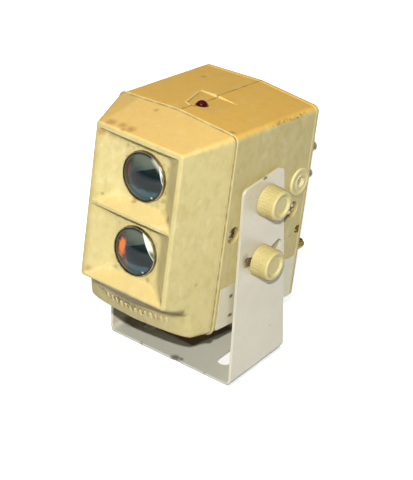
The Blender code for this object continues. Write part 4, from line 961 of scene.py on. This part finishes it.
def chin_ribs():
    """A row of low moulded ribs on the chin, in place of its lettering."""
    ribs = []
    for k in range(13):
        x = (-17.0 + 3.3 * k) * MM
        width = 1.0 * MM if k % 3 else 1.5 * MM
        height = 4.6 * MM if k % 2 else 3.6 * MM
        share_x = abs(x) / (FRAME_HALF + 4 * MM)
        y_top = BODY_FRONT - CHIN_TOP_REACH + CHIN_TOP_BOW * share_x ** 2
        y_low = BODY_FRONT - CHIN_BOTTOM_REACH + CHIN_BOTTOM_BOW * share_x ** 2
        z_top = BODY_BOTTOM + CHIN_TOP_LIFT - CHIN_TOP_KEEL * (1 - share_x)
        z_low = BODY_BOTTOM - KEEL_DROP / 2 * (1 - share_x)
        down = Vector((0.0, y_low - y_top, z_low - z_top)).normalized()
        out = Vector((0.0, down.z, -down.y))
        start = Vector((x, y_top, z_top)) + down * 2.6 * MM
        half, deep = width / 2, 0.5 * MM
        profile = soften([(-half, -deep), (-half, deep), (half, deep), (half, -deep)], 0.3 * MM, 3)
        rings = []
        for t, grow in ((0.0, 0.25), (0.08, 0.75), (0.2, 1.0), (0.8, 1.0), (0.92, 0.75),
                        (1.0, 0.25)):
            middle = start + down * height * t
            rings.append([middle + Vector((a * (0.55 + 0.45 * grow), 0, 0))
                          + out * (b * grow if b > 0 else b) for a, b in profile])
        ribs.append(skin(rings))
    # the ribs are painted paler than the chin, as a highlight on their tops
    rib_plastic = pale_cream("rib_plastic", 0.4, (240, 226, 168), upward=False)
    shaped("chin_ribs", merged(ribs), [], cream_end(rib_plastic))


def gasket():
    shape = frame_ring(body_outline(GASKET_INSET), body_outline(GASKET_INSET + GASKET_WIDTH), "Y",
                       SNOUT_REAR - GASKET_DEPTH, SNOUT_REAR)
    finish = moulding("gasket_rubber", (44, 42, 40), (66, 60, 54), 0.75)
    shaped("gasket", shape, ["seam_gasket"], finish, bevel=0.12 * MM)


def half_shell(name, node, side, finish):
    bead = [(0.0, 0.25), (0.12, 0.52), (0.35, 0.7), (0.95, 0.7), (1.25, 0.5), (1.42, 0.18),
            (1.6, 0.0)]
    bead += [(y, 0.0) for y in (8, 14, 20, 26, 32, 38, 44, 50, 56, 62, 67)]
    stations = [(BODY_FRONT + y * MM, proud * MM) for y, proud in bead]
    stations += [(SHELL_REAR - 0.3 * MM, 0.0), (SHELL_REAR - 0.08 * MM, -0.1 * MM),
                 (SHELL_REAR, -0.3 * MM)]
    rings = [ring("Y", y, half_shell_outline(side, proud)) for y, proud in stations]
    inner_wall = HALF - WALL + SINK
    floor_x = HALF - SIDE_SCREW_SUNK
    insert_end = HALF - INSERT_LENGTH - 2 * GAP
    shank = SIDE_SCREW_RADIUS + GAP
    pocket = SIDE_SCREW_POCKET
    around = pocket + WALL * 0.7
    boss_profile = [(GAP / 2, 0.0), (GAP / 2, SIDE_BOSS), (floor_x - WALL, SIDE_BOSS),
                    (floor_x - WALL, around), (inner_wall, around), (inner_wall, 0.0)]
    bore_profile = [(-CUT, 0.0), (-CUT, shank), (floor_x, shank), (floor_x, pocket),
                    (HALF - SHELL_LIP, pocket), (HALF - SHELL_LIP * 0.3, pocket + SHELL_LIP * 0.3),
                    (HALF, pocket + SHELL_LIP), (HALF + CUT, pocket + SHELL_LIP),
                    (HALF + CUT, 0.0)]
    side_spots = [(y, -SIDE_SCREW_DROP) for y in (SIDE_SCREW_FRONT, SIDE_SCREW_REAR)]
    bosses = [rod("X", stud, INSERT_BOSS, insert_end - WALL / 2, inner_wall, direction=side)
              for stud in STUDS.values()]
    bosses += [turned(boss_profile, "X", spot, SMALL_ROUND, side) for spot in side_spots]
    bores = [rod("X", stud, INSERT_RADIUS + GAP, insert_end, HALF + CUT, direction=side)
             for stud in STUDS.values()]
    for z in (COVER_SCREW_TOP, COVER_SCREW_BOTTOM):
        spot = (side * COVER_SCREW_X, z)
        bosses.append(rod("Y", spot, COVER_BOSS, SHELL_REAR - COVER_BOSS_LENGTH,
                          SHELL_REAR - 0.4 * MM))
        bores.append(rod("Y", spot, COVER_SCREW_RADIUS + GAP, SHELL_REAR - COVER_SCREW_LENGTH,
                         SHELL_REAR + CUT, 20))
    bores += [turned(bore_profile, "X", spot, 48) if side > 0 else
              rod("X", spot, shank, -CUT, SIDE_SCREW_END, direction=side) for spot in side_spots]
    if side < 0:
        bores.append(prism(tab_outline(GAP), "Z", BODY_TOP - 2 * WALL, RIDGE + CUT))
        changes = [("UNION", merged(bosses)), ("DIFFERENCE", merged(bores))]
        return shaped(name, skin(rings), [node], finish, changes)
    for y in (MAIN_BOARD_FRONT + STANDOFF_INSET, MAIN_BOARD_REAR - STANDOFF_INSET - WALL):
        for z in (MAIN_BOARD_BOTTOM + STANDOFF_INSET, MAIN_BOARD_TOP - STANDOFF_INSET):
            bosses.append(rod("X", (y, z), STANDOFF_RADIUS, BOARD_OUTER + GAP, inner_wall, 20))
    bores.append(rod("X", (POT_Y, 0.0), PLUG_NECK + GAP, HALF - WALL - CUT, HALF + CUT, ROUND))
    notch = arc((SHELL_REAR - NOTCH_REACH, NOTCH_HEIGHT), NOTCH_RADIUS, math.pi / 2,
                3 * math.pi / 2, 24)
    notch += [(SHELL_REAR + CUT, NOTCH_HEIGHT - NOTCH_RADIUS),
              (SHELL_REAR + CUT, NOTCH_HEIGHT + NOTCH_RADIUS)]
    bores.append(prism(notch, "X", HALF - WALL - CUT, HALF + CUT))
    lamp_pocket = []
    for z, grow in ((POCKET_FLOOR, 0.0),
                    (RIDGE - 0.45 * MM - ROOF_RISE * POCKET_RIGHT / HALF, 0.0),
                    (RIDGE + CUT, 1.6 * MM)):
        outline = rectangle(-TAB_LEFT - CUT - grow, POCKET_RIGHT + grow,
                            POCKET_FRONT - GAP - grow, POCKET_REAR + GAP + grow)
        lamp_pocket.append(ring("Z", z, outline))
    changes = [("UNION", merged(bosses)), ("DIFFERENCE", merged(bores)),
               ("UNION", prism(tab_outline(0.0), "Z", RIDGE - WALL - SINK, POCKET_FLOOR + SINK)),
               ("DIFFERENCE", skin(lamp_pocket)),
               ("DIFFERENCE", rod("Z", (LAMP_X, LAMP_Y), LAMP_RADIUS + GAP, BODY_TOP - 2 * WALL,
                                  RIDGE + CUT, 48))]
    shaped(name, skin(rings), [node], finish, changes)


def rear_cover(finish):
    ease = 0.9 * MM
    line = [(COVER_FRONT, 0.25 * MM), (COVER_FRONT + 0.25 * MM, 0.0)]
    line += [(BODY_REAR - back, inset) for inset, back in quarter(ease, 5, 6)]
    rings = [ring("Y", y, body_outline(inset)) for y, inset in line]
    spots = [(x, z) for x in (-COVER_SCREW_X, COVER_SCREW_X)
             for z in (COVER_SCREW_TOP, COVER_SCREW_BOTTOM)]
    through = (COVER_FRONT - CUT, BODY_REAR + CUT)
    holes = [rod("Y", spot, COVER_SCREW_RADIUS + GAP, *through, 20)
             for spot in spots + [(COVER_SCREW_X, GROUND_SCREW_HEIGHT)]]
    holes.append(rod("Y", (0.0, GLAND_HEIGHT), GLAND_THREAD + GAP, *through, ROUND))
    panel = []
    for y, grow in ((BODY_REAR - 0.5 * MM, 0.0), (BODY_REAR - 0.2 * MM, 0.05 * MM),
                    (BODY_REAR + CUT, 1.0 * MM)):
        outline = rounded(rectangle(-PANEL_HALF - grow, PANEL_HALF + grow, PANEL_LOW - grow,
                                    PANEL_HIGH + grow), [PANEL_CORNER + grow] * 4)
        panel.append(ring("Y", y, outline))
    shaped("rear_plate", skin(rings), ["rear_cover"], finish,
           [("DIFFERENCE", merged(holes)), ("DIFFERENCE", skin(panel))])


def raised_line(points, width, height, drop):
    """A low rounded ridge on the roof's left slope, through points of its plan."""
    half = width / 2
    profile = soften([(-half, -drop), (-half, height), (half, height), (half, -drop)],
                     [0.0, height * 0.9, height * 0.9, 0.0], 3)
    rings = []
    for index, (x, y) in enumerate(points):
        before = Vector(points[max(index - 1, 0)])
        after = Vector(points[min(index + 1, len(points) - 1)])
        ahead = (after - before).normalized()
        across = Vector((ahead.y, -ahead.x))
        roof = RIDGE - ROOF_RISE * abs(x) / HALF
        rings.append([(x + across.x * a, y + across.y * a, roof + up) for a, up in profile])
    return skin(rings)


def roof_rim():
    """The raised edge round the lamp's pocket, left of the roof's centre line, painted paler as a
    highlight along it.
    """
    away = GAP + 0.55 * MM
    start = -1.2 * MM
    points = [(start, POCKET_FRONT - away),
              (-TAB_FRONT_LEFT - away, POCKET_FRONT + TAB_FRONT_SHOULDER - away),
              (-TAB_LEFT - away, POCKET_REAR - TAB_FRONT_SHOULDER - 0.3 * MM),
              (-TAB_LEFT - away, POCKET_REAR + away), (start, POCKET_REAR + away)]
    shaped("roof_rim", raised_line(points, 0.9 * MM, 0.3 * MM, 0.15 * MM), [],
           cream_end(pale_cream("rim_plastic", 0.45, (252, 226, 158))))


# ------------------------------------------------------------------ optics and fittings
def dome(start, way, edge, radius, crown, steps, first=0):
    """The profile of a spherical cap, from its edge to its crown."""
    ball = (radius ** 2 + crown ** 2) / (2 * crown)
    points = []
    for step in range(first, steps):
        out = edge * (1 - step / steps)
        points.append((start + way * (math.sqrt(ball ** 2 - out ** 2) - (ball - crown)), out))
    return points + [(start + way * crown, 0.0)]


def lens(name, centre, chrome):
    """A glass dome with a collar that hides the seat, inside a thin chrome lip."""
    spot = (0.0, centre)
    seat = RECESS_Y - GAP
    edge_rear = RECESS_Y + LENS_REST
    edge_front = edge_rear - LENS_EDGE
    profile = [(edge_rear, 0.0), (edge_rear, LENS_RADIUS - 0.2 * MM),
               (edge_rear - 0.2 * MM, LENS_RADIUS), (seat, LENS_RADIUS),
               (seat, GLASS_RADIUS), (edge_front + 0.15 * MM, GLASS_RADIUS)]
    profile += dome(edge_front, -1, GLASS_RADIUS - 0.1 * MM, GLASS_RADIUS, LENS_CROWN, 18)
    shaped(f"glass_{name}", turned(profile, "Y", spot, 96), [f"lens_{name}"],
           lens_glass(f"glass_{name}", centre, name == "lower"))
    inner = GLASS_RADIUS + 0.08 * MM
    outer = inner + 0.75 * MM
    ring_front = seat - RING_LENGTH * 0.8
    profile = soften([(seat, inner), (seat, outer), (ring_front, outer - 0.25 * MM),
                      (ring_front, inner)], [0.05 * MM, 0.1 * MM, 0.3 * MM, 0.1 * MM], 4, True)
    shaped(f"ring_{name}", turned(profile, "Y", spot, 96), [f"lens_ring_{name}"], chrome)


def lamp():
    seat = RIDGE - WALL - ROOF_RISE * LAMP_X / HALF - GAP
    profile = [(seat - LAMP_BODY, 0.0), (seat - LAMP_BODY, LAMP_FLANGE), (seat - MM, LAMP_FLANGE),
               (seat - MM, LAMP_RADIUS), (POCKET_FLOOR, LAMP_RADIUS)]
    profile += dome(POCKET_FLOOR, 1, LAMP_RADIUS, LAMP_RADIUS, LAMP_CROWN, 12, 1)
    f = Finish("lamp_lens_red", 0.08)
    cells = f.cells(0.8)
    f.tint = f.mix(f.step(f.at["Z"], POCKET_FLOOR, POCKET_FLOOR + LAMP_CROWN), (46, 2, 5),
                   (92, 9, 13))
    f.tint = f.mix(f.share(cells, 0.0, 0.4), f.tint, (40, 0, 4))
    f.set("Coat Weight", 1.0).set("Coat Roughness", 0.03)
    shaped("lamp_dome", turned(profile, "Z", (LAMP_X, LAMP_Y), 48), ["indicator_lamp"],
           f.done(cells, 0.05, 0.3))


def plug():
    face = HALF + GAP
    front = face + PLUG_PROUD
    dish, lip = front - 0.45 * MM, front - 0.1 * MM
    profile = [(HALF - WALL, PLUG_BORE), (HALF - WALL, PLUG_NECK), (face, PLUG_NECK),
               (face, PLUG_RADIUS), (front, PLUG_RADIUS), (front, PLUG_RADIUS - 1.9 * MM),
               (dish, PLUG_RADIUS - 2.7 * MM), (dish, PLUG_BORE + 0.9 * MM),
               (lip, PLUG_BORE + 0.6 * MM), (lip, PLUG_BORE)]
    eases = [e * MM for e in (0, 0.2, 0, 0.1, 0.9, 0.5, 0.5, 0.3, 0.3, 0.3)]
    shaped("adjuster_plug", turned(soften(profile, eases, 4, True), "X", (POT_Y, 0.0)),
           ["sensitivity_plug"],
           cream_end(pale_cream("plug_plastic", 0.5, (228, 219, 165), upward=False)))


def label():
    front = BODY_FRONT + LABEL_FRONT
    low = BODY_BOTTOM + LABEL_LIFT
    outline = rounded(rectangle(front, front + LABEL_LENGTH, low, low + LABEL_HEIGHT),
                      [0.8 * MM] * 4, 4)
    shaped("label_sheet", prism(outline, "X", HALF + GAP, HALF + GAP + LABEL_THICKNESS),
           ["label_plate"], label_print(), bevel=0.08 * MM)


# ------------------------------------------------------------------ screws and cable gland
def cross_cutter(axis, spot, radius, start, end):
    """A cross with arms as wide as a drive slot, turned a little."""
    half, reach = DRIVE_SLOT / 2, radius * 0.62
    outline = [(reach, -half), (reach, half), (half, half), (half, reach), (-half, reach),
               (-half, half), (-reach, half), (-reach, -half), (-half, -half), (-half, -reach),
               (half, -reach), (half, -half)]
    cos, sin = math.cos(CROSS_TURN), math.sin(CROSS_TURN)
    return prism([(spot[0] + a * cos - b * sin, spot[1] + a * sin + b * cos)
                  for a, b in outline], axis, start, end)


def side_screws():
    start = HALF - SIDE_SCREW_SUNK + GAP
    top = start + SIDE_SCREW_HEAD_LENGTH
    tip = start - SIDE_SCREW_LENGTH
    profile = [(tip, 0.0), (tip, SIDE_SCREW_RADIUS), (start, SIDE_SCREW_RADIUS),
               (start, SIDE_SCREW_HEAD), (top - 0.5 * MM, SIDE_SCREW_HEAD),
               (top, SIDE_SCREW_HEAD - 1.8 * MM), (top, 0.0)]
    profile = soften(profile, [0, 0.4 * MM, 0, 0.1 * MM, 0.5 * MM, 1.2 * MM, 0], 3)
    for name, y in (("front", SIDE_SCREW_FRONT), ("rear", SIDE_SCREW_REAR)):
        spot = (y, -SIDE_SCREW_DROP)
        cutter = cross_cutter("X", spot, SIDE_SCREW_HEAD, top - DRIVE_SLOT_DEPTH, top + CUT)
        shaped(f"cross_screw_{name}", turned(profile, "X", spot, 40), [f"side_screw_{name}"],
               zinc, [("DIFFERENCE", cutter)], 0.08 * MM)


def grooved(shape, centre, crest, depth, low, high, wave):
    """Presses grip grooves into a head whose axis runs along Y, between two distances. The wave
    gives their depth, from 0 to 1, at an angle round the head."""
    for vertex in shape.verts:
        u, v = vertex.co.x - centre[0], vertex.co.z - centre[1]
        outward = math.hypot(u, v)
        if outward >= crest and low < vertex.co.y < high:
            pressed = depth * wave(math.atan2(v, u))
            vertex.co.x -= u / outward * pressed
            vertex.co.z -= v / outward * pressed
    return shape


def rear_screw(name, node, spot, radius, length, shank, finish):
    start = BODY_REAR + GAP
    top = start + length
    profile = soften([(start - shank, 0.0), (start - shank, COVER_SCREW_RADIUS),
                      (start, COVER_SCREW_RADIUS), (start, radius), (start + 0.7 * MM, radius),
                      (top - 0.9 * MM, radius), (top, radius - 0.3 * MM), (top, 0.0)],
                     [0, 0.3 * MM, 0, 0.3 * MM, 0, 0, 0.5 * MM, 0], 3)
    shape = grooved(turned(profile, "Y", spot, 80), spot, radius - 0.1 * MM, 0.28 * MM,
                    start + 0.5 * MM, top - 0.6 * MM, lambda turn: 0.5 - 0.5 * math.cos(turn * 20))
    u, v = spot
    half, reach = DRIVE_SLOT / 2, radius + CUT
    cutter = prism(rectangle(u - half, u + half, v - reach, v + reach), "Y",
                   top - DRIVE_SLOT_DEPTH, top + CUT)
    shaped(name, shape, [node], finish, [("DIFFERENCE", cutter)])


def rear_screws():
    shank = COVER_THICKNESS + COVER_SCREW_LENGTH - GAP
    for name, x in (("left", -COVER_SCREW_X), ("right", COVER_SCREW_X)):
        rear_screw(f"cap_screw_{name}", f"cover_screw_upper_{name}", (x, COVER_SCREW_TOP),
                   CAP_HEAD_RADIUS, CAP_HEAD_LENGTH, shank, zinc)
        rear_screw(f"thumb_screw_{name}", f"cover_screw_lower_{name}", (x, COVER_SCREW_BOTTOM),
                   THUMB_HEAD_RADIUS, THUMB_HEAD_LENGTH, shank, brass)
    rear_screw("earth_screw", "ground_screw", (COVER_SCREW_X, GROUND_SCREW_HEIGHT),
               GROUND_HEAD_RADIUS, GROUND_HEAD_LENGTH, 5.0 * MM, zinc)


def cable_gland():
    spot = (0.0, GLAND_HEIGHT)
    face = BODY_REAR + GAP
    cap_start = face + GLAND_HEX_LENGTH
    end = cap_start + GLAND_CAP_LENGTH
    inside = COVER_FRONT - GLAND_INSIDE
    profile = [(inside, GLAND_BORE), (inside, GLAND_THREAD), (face + 0.2 * MM, GLAND_THREAD),
               (cap_start, GLAND_THREAD), (cap_start, GLAND_CAP_RADIUS),
               (end - 1.6 * MM, GLAND_CAP_RADIUS), (end, GLAND_CAP_RADIUS - 2 * MM),
               (end, GLAND_BORE)]
    eases = [e * MM for e in (0.3, 0.4, 0, 0, 0.4, 1.2, 0.6, 0.6)]
    shape = grooved(turned(soften(profile, eases, 4, True), "Y", spot, 72), spot,
                    GLAND_CAP_RADIUS - 0.3 * MM, 0.5 * MM, cap_start + 0.3 * MM, end + CUT,
                    lambda turn: max(0.0, math.cos(turn * 12)) ** 2)
    shaped("gland_body", shape, ["cable_gland"], nylon)
    hexagon = []
    for y, inset in ((face, 0.5), (face + 0.5 * MM, 0.0), (cap_start - 0.9 * MM, 0.0),
                     (cap_start - 0.4 * MM, 0.5)):
        grow = 1 - inset * 0.07
        hexagon.append([(spot[0] + (x - spot[0]) * grow, y, spot[1] + (z - spot[1]) * grow)
                        for x, z in circle(spot, GLAND_HEX, 6)])
    bore = rod("Y", spot, GLAND_THREAD + 0.02 * MM, face - CUT, end, 72)
    shaped("gland_hexagon", skin(hexagon), [], nylon, [("DIFFERENCE", bore)], 0.15 * MM)


# ------------------------------------------------------------------ clamping knobs
def knob(tag, side, spot, finish):
    """A tapered knob with a fine knurl between two smooth bands and a dished face."""
    base = KNOB_CLEARANCE
    face = base + KNOB_HEIGHT
    dish = face - KNOB_DISH_DEPTH
    washer_seat = CAPTIVE_WASHER_THICKNESS + 2 * GAP
    taper = (KNOB_BASE_RADIUS - KNOB_FACE_RADIUS) / KNOB_HEIGHT
    profile = [(dish, 0.0), (dish, KNOB_DISH_RADIUS - 0.9 * MM), (face, KNOB_DISH_RADIUS),
               (face, KNOB_FACE_RADIUS - 0.7 * MM), (face - 1.0 * MM, KNOB_FACE_RADIUS)]
    for k in range(0, 13):
        distance = face - 1.5 * MM - (KNOB_HEIGHT - 2.9 * MM) * k / 12
        profile.append((distance, KNOB_FACE_RADIUS + taper * (face - distance)))
    profile += [(base, KNOB_BASE_RADIUS), (base, CAPTIVE_WASHER_RADIUS + GAP),
                (washer_seat, CAPTIVE_WASHER_RADIUS + GAP), (washer_seat, STUD_RADIUS + GAP),
                (dish - KNOB_ROOF, STUD_RADIUS + GAP), (dish - KNOB_ROOF, 0.0)]
    eases = [e * MM for e in (0, 0.9, 0.5, 0.5, 0.6, *[0] * 13, 0.5, 0.2, 0, 0, 0, 0)]
    shape = turned(soften(profile, eases, 4), "X", (0.0, 0.0), KNURL_TEETH * 4, side)
    for vertex in shape.verts:
        outward = math.hypot(vertex.co.y, vertex.co.z)
        distance = abs(vertex.co.x)
        if (outward >= KNOB_FACE_RADIUS - 0.02 * MM
                and base + 1.0 * MM < distance < face - 1.2 * MM):
            turn = math.atan2(vertex.co.z, vertex.co.y)
            row = (distance - base) / KNURL_ROW
            wave = 0.5 - 0.5 * math.cos(turn * KNURL_TEETH)
            wave = wave * (0.75 + 0.25 * math.cos(row * math.tau))
            vertex.co.y *= 1 - KNURL_DEPTH * wave / outward
            vertex.co.z *= 1 - KNURL_DEPTH * wave / outward
    spin = Matrix.Rotation(KNOB_TURN * (1 + len(tag)), 4, "X")
    shaped(f"knob_{tag}_skin", shape, [f"knob_{tag}"], finish, sharp=50.0,
           body=f"clamp_{tag}", matrix=HEAD @ Matrix.Translation((side * ARM_OUTER, *spot)) @ spin)


# ------------------------------------------------------------------ bracket
def arm_outline():
    half = BASE_DEPTH / 2
    corners = [(-half, 0.0), (half, 0.0), (AXIS_SETBACK + ARM_TOP_REAR, BRACKET_HEIGHT),
               (AXIS_SETBACK - ARM_TOP_FRONT, BRACKET_HEIGHT)]
    return rounded(corners, [0.0, 0.0, ARM_CORNER, ARM_CORNER], 10)


def arc_slot_outline():
    """The curved slot that the lower studs move in, about the tilt axis."""
    down = -math.pi / 2 + LOCK_ANGLE
    first, last = down - TILT_UP, down + TILT_DOWN
    centre = (AXIS_SETBACK, AXIS_HEIGHT)

    def end(turn, start):
        middle = (centre[0] + LOCK_RADIUS * math.cos(turn),
                  centre[1] + LOCK_RADIUS * math.sin(turn))
        return arc(middle, HOLE_RADIUS, start, start + math.pi, 20)[1:-1]

    return (arc(centre, LOCK_RADIUS + HOLE_RADIUS, first, last, 20) + end(last, last)
            + arc(centre, LOCK_RADIUS - HOLE_RADIUS, last, first, 20)
            + end(first, first + math.pi))


def bracket():
    bend = BEND_RADIUS + SHEET
    outer = rounded(rectangle(-ARM_OUTER, ARM_OUTER, 0.0, BRACKET_HEIGHT), [bend, bend, 0.0, 0.0])
    inner = rounded(rectangle(-ARM_INNER, ARM_INNER, SHEET, BRACKET_HEIGHT + CUT),
                    [BEND_RADIUS, BEND_RADIUS, 0.0, 0.0])
    reach = ARM_OUTER + CUT
    holes = [prism(circle((AXIS_SETBACK, AXIS_HEIGHT), HOLE_RADIUS), "X", -reach, reach),
             prism(arc_slot_outline(), "X", -reach, reach)]
    for x in (BASE_SLOT_INSET - ARM_INNER, ARM_INNER - BASE_SLOT_INSET):
        outline = slot_outline((x, 0.0), BASE_SLOT_LENGTH / 2, BASE_SLOT_WIDTH / 2)
        holes.append(prism(outline, "Z", -CUT, SHEET + CUT))
    left = BASE_NOTCH_OFFSET - BASE_NOTCH_WIDTH / 2
    front = -BASE_DEPTH / 2
    notch = [(left - 0.6 * MM, front - CUT), (left + BASE_NOTCH_WIDTH, front - CUT)]
    notch += [(left + BASE_NOTCH_WIDTH * a, front + BASE_NOTCH_DEPTH * b)
              for a, b in ((0.93, 0.5), (0.6, 1.0), (0.2, 0.6))]
    holes.append(prism(notch, "Z", -CUT, SHEET + CUT))
    changes = [("DIFFERENCE", prism(inner, "Y", -BASE_DEPTH - CUT, BASE_DEPTH + CUT)),
               ("INTERSECT", prism(arm_outline(), "X", -reach, reach)),
               ("DIFFERENCE", merged(holes))]
    shaped("bracket_strip", prism(outer, "Y", -BASE_DEPTH, BASE_DEPTH), ["bracket"],
           painted_steel(), changes, 0.22 * MM, body="bracket", matrix=Matrix.Identity(4))


# ------------------------------------------------------------------ build the pieces
chrome = metal("bright_chrome", (150, 142, 120), (84, 76, 60), size=3)
zinc = metal("zinc_plate", (196, 188, 160), (96, 84, 58))
brass = metal("aged_brass", (190, 164, 96), (84, 72, 40), 0.32)
nylon = moulding("gland_nylon", (48, 48, 48), (62, 60, 58), 0.45)
body_finish = body_plastic()
knob_finish = knob_plastic()

front_housing()
chin_ribs()
gasket()
half_shell("right_shell", "right_housing", 1, body_finish)
half_shell("left_shell", "left_housing", -1, body_finish)
rear_cover(body_finish)
roof_rim()
for level, height in LENS_CENTRES.items():
    lens(level, height, chrome)
lamp()
plug()
label()
side_screws()
rear_screws()
cable_gland()
bracket()
for level, stud in STUDS.items():
    for hand, way in (("left", -1), ("right", 1)):
        knob(f"{level}_{hand}", way, stud, knob_finish)

# the CAD nodes that stay, with a material each
black = moulding("lens_barrel_black", (26, 26, 27), (38, 38, 38), 0.6)
board = circuit_board()
fibre = moulding("pressed_fibre", (128, 104, 72), (96, 76, 52), 0.85, 1.5, 0.25)
copper = metal("insert_brass", (206, 178, 104), (150, 120, 64))
KEPT = {
    "lens_tube_upper": black, "lens_tube_lower": black, "optics_board": board,
    "main_board": board, "gland_locknut": nylon,
    "emitter_led": moulding("infrared_epoxy", (58, 20, 48), (34, 12, 30), 0.12),
    "receiver_diode": moulding("receiver_black", (30, 26, 30), (46, 38, 44), 0.3),
    "relay": moulding("relay_case", (44, 66, 120), (34, 52, 98), 0.35),
    "transformer": moulding("varnished_core", (92, 70, 50), (54, 44, 36), size=1.0),
    "capacitor": moulding("capacitor_sleeve", (32, 40, 84), (46, 54, 100), 0.3),
    "terminal_block": moulding("terminal_moulding", (92, 88, 80), (74, 70, 62)),
    "potentiometer": moulding("potentiometer_case", (38, 72, 126), (30, 56, 100), 0.4),
    "sensitivity_rotor": moulding("rotor_grey", (176, 172, 158), (150, 146, 132), 0.45),
}
for level in STUDS:
    for hand in ("left", "right"):
        for kind, finish in (("stud", zinc), ("captive_washer", zinc), ("friction_washer", fibre),
                             ("insert", copper)):
            KEPT[f"{kind}_{level}_{hand}"] = finish
for node, finish in KEPT.items():
    dress(NODES[node], finish)


# ------------------------------------------------------------------ room, light and camera
def floor():
    """A plain pale floor that glows a little, except under the bracket."""
    size = FLOOR_SIZE
    mesh = bpy.data.meshes.new("studio_floor")
    mesh.from_pydata([(-size, -size, 0), (size, -size, 0), (size, size, 0), (-size, size, 0)], [],
                     [(0, 1, 2, 3)])
    ground = linked("studio_floor", mesh)
    ground.location.z = -FLOOR_DROP
    f = Finish("studio_white", 0.9)
    f.set("Base Color", f.mix(f.noise(800, 2.0), (0.93, 0.93, 0.92, 1.0), (0.9, 0.9, 0.89, 1.0)))
    f.set("Emission Color", (1.0, 1.0, 1.0, 1.0)).set("Specular IOR Level", 0.0)
    under = f.both(f.band(f.at["X"], 0.0, ARM_OUTER, 0.5 * MM),
                   f.band(f.at["Y"], 0.0, BASE_DEPTH / 2, 0.5 * MM))
    f.set("Emission Strength", f.share(under, FLOOR_GLOW, 0.0))
    mesh.materials.append(f.material)
    ground.visible_diffuse = False


def softbox(name, location, width, height, power, colour=(1.0, 1.0, 1.0), glossy=True):
    light = bpy.data.lights.new(name, "AREA")
    light.shape = "RECTANGLE"
    light.size = width
    light.size_y = height
    light.energy = power
    light.color = colour
    panel = linked(name, light)
    panel.location = location
    panel.rotation_euler = (AIM - Vector(location)).to_track_quat("-Z", "Y").to_euler()
    panel.visible_glossy = glossy


def camera():
    """The photograph's viewpoint: 38 degrees to the right of the lenses and 33 above."""
    rows = ((0.7843083, 0.62024628, 0.01245166), (-0.3440038, 0.41811855, 0.84073674),
            (0.51625757, -0.66368022, 0.54130093))
    optics = bpy.data.cameras.new("camera")
    optics.lens = 164.62
    optics.sensor_width = 36.0
    optics.clip_start = 0.05
    optics.clip_end = 30.0
    stand = Matrix(rows).transposed().to_4x4()
    stand.translation = Vector((0.625549, -0.796081, 0.717964))
    view = linked("camera", optics)
    view.matrix_world = stand
    bpy.context.scene.camera = view


FLOOR_SIZE = 6.0
FLOOR_DROP = 0.2 * MM
FLOOR_GLOW = 0.8
WORLD_LIGHT = 0.055
AIM = Vector((0.0, -0.01, 0.085))
floor()
softbox("key", (0.591, -0.754, 0.802), 0.02, 0.02, 19.6, (1.0, 0.985, 0.95))
softbox("fill", (-0.95, -0.7, 0.5), 0.6, 0.5, 3.4, glossy=False)
softbox("ceiling", (0.1, -0.45, 1.1), 0.3, 0.3, 1.2, (1.0, 0.8, 0.5))
softbox("rear", (-0.95, 0.8, 0.07), 0.4, 0.1, 9.0, glossy=False)
world = bpy.data.worlds.new("studio")
world.use_nodes = True
backdrop = world.node_tree.nodes["Background"].inputs
backdrop["Color"].default_value = (1.0, 1.0, 0.99, 1.0)
backdrop["Strength"].default_value = WORLD_LIGHT
bpy.context.scene.world = world
bpy.context.scene.view_settings.view_transform = "Standard"
camera()

bpy.context.view_layer.update()
